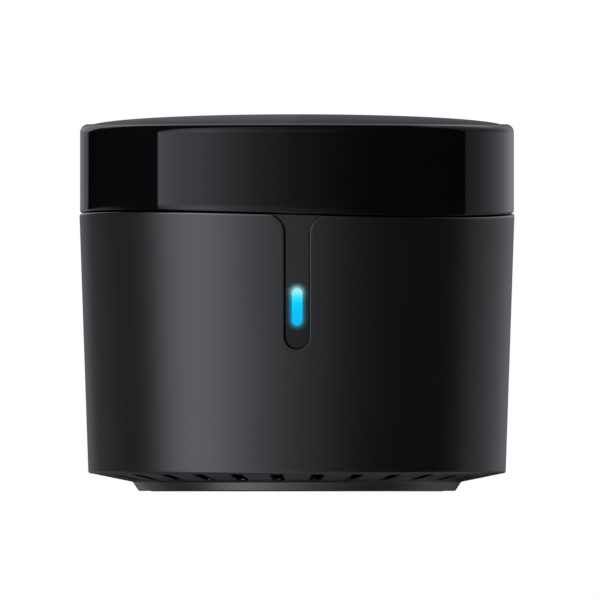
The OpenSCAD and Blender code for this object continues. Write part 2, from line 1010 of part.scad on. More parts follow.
// Upper board with its emitters and receiver

// Turns +X to each emitter's direction
module at_emitters() {
    for (i = [0:emitter_count - 1])
        rotate([0, 0, front_angle + i * 360 / emitter_count])
            children();
}

module emitter_board() {
    color("#1f6b3a") difference() {
        translate([0, 0, top_low_z])
            cylinder(h = board_t, r = top_board_r);
        at_posts()
            translate([0, 0, top_low_z - over])
                cylinder(h = board_t + 2 * over, r = top_screw_r + screw_pass_gap);
        at_emitters()
            for (s = [-1, 1])
                translate([emitter_back_u - lead_run, s * lead_pitch / 2, top_low_z - over])
                    cylinder(h = board_t + 2 * over, r = lead_r + lead_gap);
        for (s = [-1, 1])
            translate([s * lead_pitch / 2, 0, top_low_z - over])
                cylinder(h = board_t + 2 * over, r = lead_r + lead_gap);
    }
}

module emitter_lenses() {
    color("#8fa3c9") at_emitters() union() {
        bar_u(emitter_back_u, emitter_tip_u - emitter_r, emitter_z, emitter_r);
        bar_u(emitter_back_u, emitter_back_u + emitter_flange_t, emitter_z, emitter_flange_r);
        translate([emitter_tip_u - emitter_r, 0, emitter_z])
            sphere(r = emitter_r);
    }
}

module emitter_leads() {
    elbow_u = emitter_back_u - lead_run;
    color("silver") at_emitters()
        for (s = [-1, 1])
            translate([0, s * lead_pitch / 2, 0])
                union() {
                    bar_u(elbow_u, emitter_back_u, emitter_z, lead_r);
                    translate([elbow_u, 0, emitter_z])
                        sphere(r = lead_r);
                    translate([elbow_u, 0, top_low_z - lead_tail])
                        cylinder(h = emitter_z - top_low_z + lead_tail, r = lead_r);
                }
}

module crown_emitter() {
    color("#8fa3c9") translate([0, 0, top_top_z + lead_gap])
        union() {
            cylinder(h = crown_emitter_l - crown_emitter_r, r = crown_emitter_r);
            cylinder(h = emitter_flange_t, r = crown_emitter_r + crown_emitter_lip);
            translate([0, 0, crown_emitter_l - crown_emitter_r])
                sphere(r = crown_emitter_r);
        }
}

module crown_emitter_leads() {
    color("silver") for (s = [-1, 1])
        translate([s * lead_pitch / 2, 0, top_low_z - lead_tail])
            cylinder(h = board_t + lead_tail + lead_gap, r = lead_r);
}

module at_receiver() {
    rotate([0, 0, receiver_angle])
        translate([receiver_u, 0, top_top_z])
            children();
}

module ir_receiver() {
    color("#1c1420") at_receiver() union() {
        translate([0, -receiver_w / 2, 0])
            cube([receiver_d, receiver_w, receiver_h]);
        translate([receiver_d, 0, receiver_h - receiver_w / 2])
            sphere(r = receiver_lens_r);
    }
}

// Tinned cage round the receiver's back, sides and top
module receiver_cage() {
    w = receiver_w + 2 * cage_gap;
    color("#c4c6c9") at_receiver() difference() {
        translate([-cage_gap - cage_t, -w / 2 - cage_t, 0])
            cube([receiver_d + cage_gap + cage_t, w + 2 * cage_t, receiver_h + cage_gap + cage_t]);
        translate([-cage_gap, -w / 2, -over])
            cube([receiver_d + cage_gap + over, w, receiver_h + cage_gap + over]);
    }
}

module driver_transistors() {
    color("#1a1a1a") for (i = [0:post_count - 1])
        rotate([0, 0, (i + 0.5) * 360 / post_count])
            translate([top_board_r * driver_ring_share - driver_w / 2, -driver_l / 2, top_top_z])
                cube([driver_w, driver_l, driver_h]);
}

module driver_resistors() {
    color("#26262a") for (i = [0:post_count - 1])
        rotate([0, 0, i * 360 / post_count])
            translate([top_board_r * resistor_ring_share - small_w / 2, -small_l / 2, top_top_z])
                cube([small_w, small_l, small_h / 2]);
}

module upper_board_screws() {
    color("silver") at_posts()
        translate([0, 0, top_top_z + top_head_h])
            screw(top_head_r, top_head_h, top_screw_r, board_t + top_screw_bite);
}

cap();
body_shell();
base_plate();
foot_pad();
base_screws();
light_strip();
light_guide();
light_shroud();
status_leds();
main_board();
usb_shell();
usb_insert();
usb_contacts();
reset_key();
switch_plunger();
switch_body();
switch_cover();
switch_dome();
radio_board();
radio_can();
radio_chip();
radio_antenna();
power_coil();
regulator();
storage_capacitors();
capacitor_bases();
ceramic_capacitors();
crystal();
flat_cable();
lower_cable_socket();
upper_cable_socket();
emitter_board();
emitter_lenses();
emitter_leads();
crown_emitter();
crown_emitter_leads();
ir_receiver();
receiver_cage();
driver_transistors();
driver_resistors();
upper_board_screws();
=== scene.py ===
# %% [markdown]
# # A round infrared hub
# The hub is a satin body under a gloss cap, with a lit window in a slot at its front and a
# vented base on a rubber foot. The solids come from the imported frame, in metres. What shows
# on the outside is modelled again here, with rounded edges, and the parts inside keep their
# solids and get a finish each.

# %% Load the frame
import json
import math

import bmesh
import bpy
from mathutils import Matrix, Vector


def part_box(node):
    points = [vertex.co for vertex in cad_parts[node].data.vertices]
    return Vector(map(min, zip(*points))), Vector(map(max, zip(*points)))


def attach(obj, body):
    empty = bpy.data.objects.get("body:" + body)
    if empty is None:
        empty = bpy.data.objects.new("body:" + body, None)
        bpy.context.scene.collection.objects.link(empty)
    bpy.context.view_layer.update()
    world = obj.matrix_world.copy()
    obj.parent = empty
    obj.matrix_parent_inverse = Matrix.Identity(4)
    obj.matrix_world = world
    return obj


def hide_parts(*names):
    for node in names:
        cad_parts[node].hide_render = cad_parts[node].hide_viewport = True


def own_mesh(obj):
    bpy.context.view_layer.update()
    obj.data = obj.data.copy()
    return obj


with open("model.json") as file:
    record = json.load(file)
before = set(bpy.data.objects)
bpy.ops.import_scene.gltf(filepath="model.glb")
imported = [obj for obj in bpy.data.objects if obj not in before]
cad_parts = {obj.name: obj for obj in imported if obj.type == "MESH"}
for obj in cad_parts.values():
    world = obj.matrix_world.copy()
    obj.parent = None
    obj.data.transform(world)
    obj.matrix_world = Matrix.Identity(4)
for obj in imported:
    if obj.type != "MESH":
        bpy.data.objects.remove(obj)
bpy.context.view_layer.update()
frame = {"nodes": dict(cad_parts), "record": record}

# %% [markdown]
# ## Camera
# The photograph looks straight at the hub from the front, level with it, and its sides don't
# draw together: the lens was long and far away. A long lens would come near that, and an
# orthographic camera gives it exactly. The width of its view comes from the hub's width in the
# picture.

# %% Camera
MM = 0.001
PIXELS_PER_MM = 9.075
FRAME_PIXELS = 600
VIEW_X, VIEW_Z, CAMERA_AWAY = 0.33, 21.093, 300

camera_data = bpy.data.cameras.new("camera")
camera_data.type = "ORTHO"
camera_data.ortho_scale = FRAME_PIXELS / PIXELS_PER_MM * MM
camera_data.clip_start, camera_data.clip_end = 0.01, 10
camera = bpy.data.objects.new("camera", camera_data)
camera.location = (VIEW_X * MM, -CAMERA_AWAY * MM, VIEW_Z * MM)
camera.rotation_euler = (math.radians(90), 0, 0)
bpy.context.scene.collection.objects.link(camera)
bpy.context.scene.camera = camera
print("view is", round(camera_data.ortho_scale * 1000, 2), "mm wide")

# %% [markdown]
# ## Sizes that the outside shares
# The body is a cone that widens upwards, the base's vented skirt is a flat cone that closes it
# from below, and the seam between body and cap lies at one height. Pieces that meet could each
# carry their own numbers, but then one of them would be forgotten in a change. So they all read
# these, in millimetres and degrees. ON_FACE is how far a point may lie from a face and still
# count as on it.

# %% Shared sizes
BODY_LOW_R, BODY_TOP_R = 23.0, 23.97
CORNER_Z, SEAM_Z, BAND_LOW_Z = 2.05, 30.45, 30.6
CAP_R, RIM_Z, RIM_R = 23.9, 40.47, 0.9
FOOT_LOW_R, FOOT_LOW_Z, FOOT_TOP_R, FOOT_TOP_Z = 17.45, 0.05, 18.1, 1.05
WALL, LEDGE_Z, LEDGE_R = 1.6, 26.95, 22.98
TRAY_Z, LAP_R = 2.95, 22.45
SLOT_W, SLOT_LOW_Z, FLARE_R = 2.8, 15.65, 1.95
PILL_W, PILL_H, PILL_Z = 1.13, 4.04, 20.32
POST_AT_R = 13.95
SOCKET_Z, KEY_Z, KEY_ANGLE = 9.9, 10.45, 28
ON_FACE = 0.012


def body_r(z):
    return BODY_LOW_R + (z - CORNER_Z) * (BODY_TOP_R - BODY_LOW_R) / (SEAM_Z - CORNER_Z)


def under_z(r):
    return FOOT_TOP_Z + (r - FOOT_TOP_R) * (CORNER_Z - FOOT_TOP_Z) / (BODY_LOW_R - FOOT_TOP_R)


print("body radius half way up", round(body_r(16), 3), "mm")

# %% [markdown]
# ## Helpers that shape a mesh
# The hub's parts are mouldings, most of them turned. A turned part starts as a few points of its
# outline and is spun round the axis. A flat cutter starts as one face, whose corners are
# rounded, and is pushed out to a prism. Modifiers could do both, but the operators leave a plain
# mesh whose edges can be picked by their place. So edges are rounded by the bevel operator, and
# only the cuts use a modifier, the Boolean.


# %% Turned parts
def lathe(outline, steps=160, closed=True):
    """Points of radius and height, joined by edges and spun once round the axis."""
    bm = bmesh.new()
    points = [bm.verts.new((r * MM, 0, z * MM)) for r, z in outline]
    ends = points[1:] + points[:1] if closed else points[1:]
    edges = [bm.edges.new(pair) for pair in zip(points, ends)]
    bmesh.ops.spin(
        bm, geom=points + edges, cent=(0, 0, 0), axis=(0, 0, 1),
        angle=math.tau, steps=steps, use_merge=True,
    )
    bmesh.ops.remove_doubles(bm, verts=bm.verts, dist=1e-6)
    bmesh.ops.recalc_face_normals(bm, faces=bm.faces)
    return bm


def shift(bm, x=0, y=0, z=0):
    bmesh.ops.translate(bm, verts=bm.verts, vec=(x * MM, y * MM, z * MM))


def round_edges(bm, edges, width, segments, clamp=True):
    bmesh.ops.bevel(
        bm, geom=edges, offset=width * MM, offset_type="OFFSET", affect="EDGES",
        segments=segments, profile=0.5, material=-1, clamp_overlap=clamp,
    )


def ring_edges(bm, r, z):
    """Edges of the ring that a turned part has at radius r and height z."""
    def at_corner(v):
        return abs(v.co.xy.length - r * MM) < 3e-6 and abs(v.co.z - z * MM) < 3e-6
    return [e for e in bm.edges if at_corner(e.verts[0]) and at_corner(e.verts[1])]


# %% Prisms
def prism(points, rounded, depth):
    """Flat outline in X and Z, with some corners rounded, pushed to -Y by depth."""
    bm = bmesh.new()
    corners = [bm.verts.new((x * MM, 0, z * MM)) for x, z in points]
    bm.faces.new(corners)
    for index, radius in rounded:
        bmesh.ops.bevel(
            bm, geom=[corners[index]], offset=radius * MM, offset_type="OFFSET",
            affect="VERTICES", segments=12, profile=0.5, material=-1,
        )
    bmesh.ops.remove_doubles(bm, verts=bm.verts, dist=1e-6)
    pushed = bmesh.ops.extrude_face_region(bm, geom=bm.faces[:])
    moved = [v for v in pushed["geom"] if isinstance(v, bmesh.types.BMVert)]
    bmesh.ops.translate(bm, verts=moved, vec=(0, -depth * MM, 0))
    bmesh.ops.recalc_face_normals(bm, faces=bm.faces)
    return bm


# %% Objects and cuts
def to_object(bm, name):
    mesh = bpy.data.meshes.new(name)
    bm.to_mesh(mesh)
    bm.free()
    made = bpy.data.objects.new(name, mesh)
    bpy.context.scene.collection.objects.link(made)
    return made


def boolean(target, tool, operation):
    """Cuts or keeps target by tool, and gives the result back as a bmesh."""
    cut = target.modifiers.new("cut", "BOOLEAN")
    cut.object, cut.operation, cut.solver = tool, operation, "EXACT"
    graph = bpy.context.evaluated_depsgraph_get()
    made = bmesh.new()
    made.from_mesh(target.evaluated_get(graph).to_mesh())
    for used in (target, tool):
        mesh = used.data
        bpy.data.objects.remove(used)
        bpy.data.meshes.remove(mesh)
    return made


def cut_with(bm, tool_bm, operation="DIFFERENCE"):
    return boolean(to_object(bm, "work"), to_object(tool_bm, "tool"), operation)


def add_shell(bm, other):
    """Adds the closed shell other to bm."""
    mesh = bpy.data.meshes.new("shell")
    other.to_mesh(mesh)
    other.free()
    bm.from_mesh(mesh)
    bpy.data.meshes.remove(mesh)


# %% Edges by place
def sharp_edges(bm, wanted):
    """Edges with a clear bend whose two ends both satisfy wanted(point in mm)."""
    return [
        e for e in bm.edges
        if len(e.link_faces) == 2 and e.calc_face_angle() > math.radians(35)
        and all(wanted(v.co / MM) for v in e.verts)
    ]


print("mesh helpers ready")

# %% [markdown]
# ## Finished pieces
# Each piece is smooth shaded, with its true corners kept sharp. A rounded edge then bends the
# reflection beside it, unless the mesh gets much finer. Weighted normals are cheaper: they let
# the large faces rule the shading.


# %% Finish a piece
def finish_piece(bm, name, body, material, replaces=()):
    made = to_object(bm, name)
    mesh = made.data
    mesh.shade_smooth()
    mesh.set_sharp_from_angle(angle=math.radians(32))
    weighted = made.modifiers.new("weighted normals", "WEIGHTED_NORMAL")
    weighted.mode, weighted.weight, weighted.keep_sharp = "FACE_AREA", 90, True
    mesh.materials.append(material)
    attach(made, body)
    if replaces:
        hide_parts(*replaces)
    print(name, len(mesh.polygons), "faces")
    return made

# %% [markdown]
# ## The seam's slight wave
# In the photograph the dark line under the cap isn't level: it lies 0.3 mm higher left of the
# middle and 0.3 mm lower right of it. A lattice could bend the pieces. A formula is shorter, and
# a mask can follow it too. Cap, body and strip get the same small wave, which fades out within 6
# mm of the seam, so the gap between them stays even. Only the outer skin takes part in it.

# %% Seam wave
WAVE, LIFT, WAVE_AHEAD = 0.32, 0.056, 0.12
WAVE_REACH, WAVE_FROM_R = 6.0, 21.5


def wave_seam(bm):
    for v in bm.verts:
        if v.co.xy.length < WAVE_FROM_R * MM:
            continue
        away = abs(v.co.z / MM - SEAM_Z) / WAVE_REACH
        if away < 1:
            around = math.atan2(v.co.x, -v.co.y)
            wave = LIFT - WAVE * math.sin(2 * around + WAVE_AHEAD)
            v.co.z += wave * (1 - away * away) ** 2 * MM


print("wave at the front", round(LIFT - WAVE * math.sin(WAVE_AHEAD), 3), "mm")

# %% [markdown]
# ## Shared effects
# Moulded plastic, lacquer and metal all have a grain that is too fine to model. An image could
# hold it, but would need a flat layout of each piece. One node group makes it instead from two
# noises in Object coordinates, and puts out a height for the bump, a mottle that shifts the
# colour and a value for the roughness. Each finish sets its own scale. The functions before it
# place one node each and wire it, so that a formula reads like one.


# %% Node helpers
def new_group(name, inputs, outputs):
    group = bpy.data.node_groups.new(name, "ShaderNodeTree")
    for title, kind, value in inputs:
        socket = group.interface.new_socket(title, in_out="INPUT", socket_type=kind)
        socket.default_value = value
    for title, kind in outputs:
        group.interface.new_socket(title, in_out="OUTPUT", socket_type=kind)
    return group, group.nodes.new("NodeGroupInput"), group.nodes.new("NodeGroupOutput")


def math_node(tree, operation, first, second=None, third=None):
    node = tree.nodes.new("ShaderNodeMath")
    node.operation = operation
    for socket, value in zip(node.inputs, (first, second, third)):
        if isinstance(value, (int, float)):
            socket.default_value = value
        elif value is not None:
            tree.links.new(value, socket)
    return node.outputs[0]


def noise_node(tree, vector, scale, detail):
    node = tree.nodes.new("ShaderNodeTexNoise")
    node.inputs["Detail"].default_value = detail
    tree.links.new(vector, node.inputs["Vector"])
    if isinstance(scale, (int, float)):
        node.inputs["Scale"].default_value = scale
    else:
        tree.links.new(scale, node.inputs["Scale"])
    return node.outputs["Fac"]


# %% Grain group
grain_group, grain_in, grain_out = new_group(
    "moulded_grain",
    [("Grain Scale", "NodeSocketFloat", 9000.0), ("Mottle Scale", "NodeSocketFloat", 220.0),
     ("Roughness", "NodeSocketFloat", 0.5), ("Roughness Spread", "NodeSocketFloat", 0.05)],
    [("Height", "NodeSocketFloat"), ("Mottle", "NodeSocketFloat"),
     ("Roughness", "NodeSocketFloat")],
)
place = grain_group.nodes.new("ShaderNodeTexCoord").outputs["Object"]
fine = noise_node(grain_group, place, grain_in.outputs["Grain Scale"], 2)
broad = noise_node(grain_group, place, grain_in.outputs["Mottle Scale"], 3)
spread = math_node(
    grain_group, "MULTIPLY_ADD", math_node(grain_group, "SUBTRACT", broad, 0.5),
    grain_in.outputs["Roughness Spread"], grain_in.outputs["Roughness"],
)
for value, title in ((fine, "Height"), (broad, "Mottle"), (spread, "Roughness")):
    grain_group.links.new(value, grain_out.inputs[title])
print("group", grain_group.name)

# %% [markdown]
# ## Masks by place
# Two functions say where on a piece a point lies. Painted colours on the mesh could say it too,
# but only as sharply as the mesh is fine. One mask is 1 on the cap's outside, by radius and
# height. The other is 1 in a narrow band under the seam. Each is used by one finish alone, so
# its nodes stand in that material and need no group.


# %% Place and length nodes
def split_place(tree):
    """X, Y and Z of the point in Object coordinates."""
    node = tree.nodes.new("ShaderNodeSeparateXYZ")
    tree.links.new(tree.nodes.new("ShaderNodeTexCoord").outputs["Object"], node.inputs[0])
    return node.outputs


def length_of(tree, a, b):
    squares = [math_node(tree, "MULTIPLY", side, side) for side in (a, b)]
    return math_node(tree, "SQRT", math_node(tree, "ADD", *squares))


# %% Masks
BAND_FROM_R, CROWN_FROM_Z, POLISHED = 23.1, 39.5, 0.21


def cap_outside(tree):
    """1 on the cap's outside, 0 on its inside and on the skirt in the seam."""
    here = split_place(tree)
    return math_node(
        tree, "MAXIMUM",
        math_node(tree, "GREATER_THAN", length_of(tree, here["X"], here["Y"]), BAND_FROM_R * MM),
        math_node(tree, "GREATER_THAN", here["Z"], CROWN_FROM_Z * MM),
    )


def polished_rim(tree):
    """1 in the band under the seam, whose lower edge follows the seam's wave, 0 below it."""
    here = split_place(tree)
    around = math_node(tree, "ARCTAN2", here["X"], math_node(tree, "MULTIPLY", here["Y"], -1.0))
    wave = math_node(tree, "SINE", math_node(tree, "MULTIPLY_ADD", around, 2.0, WAVE_AHEAD))
    low_edge = math_node(tree, "MULTIPLY_ADD", wave, -WAVE * MM, (SEAM_Z + LIFT - POLISHED) * MM)
    return math_node(tree, "GREATER_THAN", here["Z"], low_edge)


print("polished band", POLISHED, "mm high")

# %% [markdown]
# ## Finishes
# Every finish is a Principled shader with the grain group in front of it. What is the same all
# over the surface, such as the index of refraction, stays on the shader's own socket. The
# colour, the roughness and the bump come from nodes. The cap is gloss, the body satin and the
# base matt. Two materials on one piece could part polished from dull places, but the border
# would have to follow edges. Masks put it where it belongs: they take the mirror off where a
# piece turns inwards, and polish the body's rim, which shows as a bright line under the seam.
# On the base the same mask also paints the inside, the vents' walls and the joint of skirt and
# foot ring dark, a painted shade.


# %% Material builder
def finish_of(name, colour, second, roughness, spread=0.05, bump=0.0, grain=9000.0,
              mottle=220.0, metallic=0.0, **shader):
    """Principled material: colour mixed with second by the mottle, grain bump in micrometres."""
    material = bpy.data.materials.new(name)
    material.use_nodes = True
    tree = material.node_tree
    surface = tree.nodes["Principled BSDF"]
    surface.inputs["Metallic"].default_value = metallic
    for title, value in shader.items():
        surface.inputs[title.replace("_", " ")].default_value = value
    grain_node = tree.nodes.new("ShaderNodeGroup")
    grain_node.node_tree = grain_group
    for title, value in (("Grain Scale", grain), ("Mottle Scale", mottle),
                         ("Roughness", roughness), ("Roughness Spread", spread)):
        grain_node.inputs[title].default_value = value
    mix = tree.nodes.new("ShaderNodeMix")
    mix.data_type = "RGBA"
    mix.inputs["A"].default_value = (*colour, 1)
    mix.inputs["B"].default_value = (*second, 1)
    tree.links.new(grain_node.outputs["Mottle"], mix.inputs["Factor"])
    tree.links.new(mix.outputs["Result"], surface.inputs["Base Color"])
    tree.links.new(grain_node.outputs["Roughness"], surface.inputs["Roughness"])
    if bump:
        relief = tree.nodes.new("ShaderNodeBump")
        relief.inputs["Distance"].default_value = bump * 1e-6
        tree.links.new(grain_node.outputs["Height"], relief.inputs["Height"])
        tree.links.new(relief.outputs["Normal"], surface.inputs["Normal"])
    return material


# %% Cap finish
cap_gloss = finish_of(
    "cap_gloss", (0.0026, 0.0026, 0.0032), (0.0020, 0.0020, 0.0026), 0.03, spread=0.01,
    mottle=60, IOR=1.45,
)
tree = cap_gloss.node_tree
# The inside of the cap, and its skirt in the seam, don't mirror. Outside the level is plain.
PLAIN_MIRROR = 0.5
tree.links.new(
    math_node(tree, "MULTIPLY", cap_outside(tree), PLAIN_MIRROR),
    tree.nodes["Principled BSDF"].inputs["Specular IOR Level"],
)

# %% Body finish
body_satin = finish_of(
    "body_satin", (0.0062, 0.0062, 0.0065), (0.0050, 0.0050, 0.0053), 0.34, spread=0.02,
    bump=1.2, grain=11000, mottle=140, Specular_IOR_Level=1.0,
)
tree = body_satin.node_tree
surface = tree.nodes["Principled BSDF"]
tree.links.new(polished_rim(tree), surface.inputs["Coat Weight"])
surface.inputs["Coat Roughness"].default_value = 0.2
surface.inputs["Coat IOR"].default_value = 1.8
print("cap and body finishes ready")


# %% Steps between two values
def map_range(tree, value, low, high, kind="LINEAR"):
    node = tree.nodes.new("ShaderNodeMapRange")
    node.interpolation_type = kind
    node.inputs["From Min"].default_value = low
    node.inputs["From Max"].default_value = high
    tree.links.new(value, node.inputs["Value"])
    return node.outputs["Result"]


def soft_step(tree, value, low, high):
    """0 below low, 1 above high, and a smooth rise between them."""
    return map_range(tree, value, low, high, "SMOOTHSTEP")


def fall(tree, value, low, high):
    """1 below low, 0 above high."""
    return math_node(tree, "SUBTRACT", 1.0, soft_step(tree, value, low, high))


# %% Base finish
# Painted shade: the vents' walls and the inside are painted black without mirror, and the joint of
# skirt and foot ring is painted darker, where shade falls.
INSIDE_FROM, JOINT_BAND, JOINT_FROM_R, JOINT_TO_R = 0.12, 0.06, 18.5, 19.7
INSIDE_SHADE_BLACK, JOINT_SHADE = (0.003, 0.003, 0.003, 1), 0.75
base_matt = finish_of(
    "base_matt", (0.0500, 0.0500, 0.0505), (0.0440, 0.0440, 0.0445), 0.30, spread=0.03,
    bump=1.2, grain=9000, mottle=180, Specular_IOR_Level=1.0,
)
tree = base_matt.node_tree
here = split_place(tree)
base_r = length_of(tree, here["X"], here["Y"])
skin_z = math_node(
    tree, "MULTIPLY_ADD", math_node(tree, "SUBTRACT", base_r, FOOT_TOP_R * MM),
    (CORNER_Z - FOOT_TOP_Z) / (BODY_LOW_R - FOOT_TOP_R), (FOOT_TOP_Z + INSIDE_FROM) * MM,
)
joint_shade_share = math_node(
    tree, "MULTIPLY",
    math_node(tree, "GREATER_THAN", here["Z"], (FOOT_TOP_Z - JOINT_BAND) * MM),
    fall(tree, base_r, JOINT_FROM_R * MM, JOINT_TO_R * MM),
)
inside_shade_share = math_node(
    tree, "MAXIMUM", math_node(tree, "GREATER_THAN", here["Z"], skin_z),
    math_node(tree, "MULTIPLY", joint_shade_share, JOINT_SHADE),
)
# Painted shade: the base colour is mixed towards black inside, in the vents and at the joint.
shade_paint = tree.nodes.new("ShaderNodeMix")
shade_paint.data_type = "RGBA"
shade_paint.inputs["B"].default_value = INSIDE_SHADE_BLACK
tree.links.new(inside_shade_share, shade_paint.inputs["Factor"])
surface = tree.nodes["Principled BSDF"]
tree.links.new(surface.inputs["Base Color"].links[0].from_socket, shade_paint.inputs["A"])
tree.links.new(shade_paint.outputs["Result"], surface.inputs["Base Color"])
tree.links.new(
    math_node(tree, "SUBTRACT", 1.0, inside_shade_share), surface.inputs["Specular IOR Level"],
)
print("base finish ready")

# %% Rubber and key finishes
foot_rubber = finish_of(
    "foot_rubber", (0.011, 0.011, 0.011), (0.016, 0.016, 0.015), 0.75, spread=0.12,
    bump=9, grain=3500, mottle=300,
)
key_plastic = finish_of(
    "key_plastic", (0.018, 0.018, 0.020), (0.014, 0.014, 0.016), 0.42, spread=0.04,
    bump=1.5, grain=9000, mottle=400,
)
print("finishes", foot_rubber.name, key_plastic.name)

# %% [markdown]
# ## Lit window and the glow beside it
# Behind the slot's strip a clear bar brings up the light of a small blue source. Its rounded
# front is nearly white at the top, cyan in the middle and blue at the foot, and the strip's
# plastic passes a little of that light round the window. A lamp behind a clear bar would be
# truer, but slow and noisy. So both finishes shine by themselves: their colours depend on the
# height on the piece, and the glow also on the distance from the window. The strip's own black
# is painted a shade lighter towards the window's bright end and darker at its foot, a painted
# light and shade.


# %% Ramps
def ramp_node(tree, value, stops):
    node = tree.nodes.new("ShaderNodeValToRGB")
    ramp = node.color_ramp
    while len(ramp.elements) < len(stops):
        ramp.elements.new(0.5)
    for element, (position, colour) in zip(ramp.elements, stops):
        element.position = position
        element.color = (*colour, 1)
    tree.links.new(value, node.inputs[0])
    return node.outputs["Color"]


def grey_stops(pairs):
    return [(position, (level, level, level)) for position, level in pairs]


# %% Window colours
PILL_LOW, PILL_HIGH = (PILL_Z - PILL_H / 2) * MM, (PILL_Z + PILL_H / 2) * MM
WINDOW_STOPS = [
    (0.0, (0.0, 0.44, 0.80)), (0.12, (0.0, 0.49, 0.92)), (0.35, (0.0, 0.51, 0.96)),
    (0.62, (0.0, 0.63, 0.95)), (0.78, (0.05, 0.76, 0.92)), (0.92, (0.32, 0.86, 0.90)),
    (1.0, (0.34, 0.80, 0.80)),
]
guide_lit = finish_of(
    "guide_lit", (0.001, 0.016, 0.022), (0.001, 0.012, 0.018), 0.18, spread=0.02, mottle=500,
    Emission_Strength=1.0, Specular_IOR_Level=0.2,
)
tree = guide_lit.node_tree
height_share = map_range(tree, split_place(tree)["Z"], PILL_LOW, PILL_HIGH)
tree.links.new(
    ramp_node(tree, height_share, WINDOW_STOPS),
    tree.nodes["Principled BSDF"].inputs["Emission Color"],
)
print("window from", round(PILL_LOW / MM, 2), "to", round(PILL_HIGH / MM, 2), "mm")

# %% Strip finish with the glow
strip_matt = finish_of(
    "strip_matt", (0.013, 0.013, 0.013), (0.010, 0.010, 0.010), 0.55, spread=0.04,
    bump=1.5, grain=9000, mottle=200, Emission_Strength=2.5,
)
tree = strip_matt.node_tree
here = split_place(tree)
half_run = (PILL_H - PILL_W) / 2 * MM
up = math_node(tree, "SUBTRACT", here["Z"], PILL_Z * MM)
past = math_node(
    tree, "MAXIMUM", math_node(tree, "SUBTRACT", math_node(tree, "ABSOLUTE", up), half_run), 0.0,
)
away = length_of(tree, here["X"], past)
GLOW_REACH, GLOW_ABOVE = 0.75, 0.5
GLOW_LEVELS = [
    (0.0, 0.40), (0.09, 0.29), (0.22, 0.19), (0.37, 0.115), (0.52, 0.055), (0.68, 0.020),
    (1.0, 0.0),
]
GLOW_TINTS = [
    (0.0, (0.0, 0.25, 0.40)), (0.55, (0.0, 0.26, 0.40)), (0.66, (0.03, 0.29, 0.41)),
    (0.80, (0.18, 0.46, 0.48)), (1.0, (0.44, 1.0, 1.0)),
]
level = ramp_node(
    tree, map_range(tree, away, PILL_W / 2 * MM, (PILL_W / 2 + GLOW_REACH) * MM),
    grey_stops(GLOW_LEVELS),
)
tint = ramp_node(
    tree, map_range(tree, here["Z"], PILL_LOW, PILL_HIGH + GLOW_ABOVE * MM), GLOW_TINTS,
)
# Painted light and shade: the strip's base colour is painted darker at its foot and lighter
# towards the window's bright top.
painted_height_shading = ramp_node(
    tree, map_range(tree, here["Z"], PILL_LOW, PILL_HIGH),
    grey_stops([(0.0, 0.004), (0.6, 0.006), (1.0, 0.012)]),
)
tree.links.new(painted_height_shading, tree.nodes["Principled BSDF"].inputs["Base Color"])
glow = tree.nodes.new("ShaderNodeMix")
glow.data_type, glow.blend_type = "RGBA", "MULTIPLY"
glow.inputs["Factor"].default_value = 1.0
tree.links.new(level, glow.inputs["A"])
tree.links.new(tint, glow.inputs["B"])
tree.links.new(glow.outputs["Result"], tree.nodes["Principled BSDF"].inputs["Emission Color"])
print("finish", strip_matt.name)

# %% [markdown]
# ## Cap
# The cap is one turned shell of gloss plastic that passes infrared: a straight band, a rounded
# rim, a narrow flat ring and a shallow dome. A squashed sphere on a cylinder would need a joint
# between them. Here one outline holds both, with the dome as a low ellipse. Its rim and its
# lower edge are rounded by beveling the rings of edges where the outline turns. A few more rings
# in the band let the seam's wave fade out smoothly.

# %% Cap outline
CROWN_EDGE_R, CROWN_UP, CROWN_SINK, CROWN_STEPS = 22.45, 1.40, 0.30, 20
CEILING_Z, SKIRT_IN_R, SKIRT_OUT_R, LOW_RIM_R = 38.8, 21.72, 22.87, 0.22
crown_start = math.asin(CROWN_SINK / CROWN_UP)
crown_across = CROWN_EDGE_R / math.cos(crown_start)
crown = []
for i in range(CROWN_STEPS + 1):
    turn = crown_start + (math.pi / 2 - crown_start) * i / CROWN_STEPS
    crown.append((
        crown_across * math.cos(turn), RIM_Z - CROWN_SINK + CROWN_UP * math.sin(turn),
    ))
crown[-1] = (0.0, crown[-1][1])
band_rings = [(CAP_R, BAND_LOW_Z + 1 + i) for i in range(6)]
cap_outline = [
    (0, CEILING_Z), (SKIRT_IN_R, CEILING_Z), (SKIRT_IN_R, LEDGE_Z), (SKIRT_OUT_R, LEDGE_Z),
    (SKIRT_OUT_R, BAND_LOW_Z), (CAP_R, BAND_LOW_Z), *band_rings, (CAP_R, RIM_Z), *crown,
]
print("crown rises to", round(crown[-1][1], 2), "mm")

# %% Cap shell
cap_bm = lathe(cap_outline, steps=256, closed=False)
round_edges(cap_bm, ring_edges(cap_bm, CAP_R, RIM_Z), RIM_R, 12)
round_edges(cap_bm, ring_edges(cap_bm, CAP_R, BAND_LOW_Z), LOW_RIM_R, 6)
wave_seam(cap_bm)
finish_piece(cap_bm, "cap_shell", "housing", cap_gloss, ["cap"])

# %% [markdown]
# ## Body
# The body is a thin turned wall with a ledge inside its rim for the cap. Its openings could be
# left out of the mesh face by face, which is slow and uneven. It starts as a plain ring instead.
# The front slot, the socket's opening and the key's hole are cut into it as prisms, and then the
# rims of those cuts are rounded, as the moulding's are.

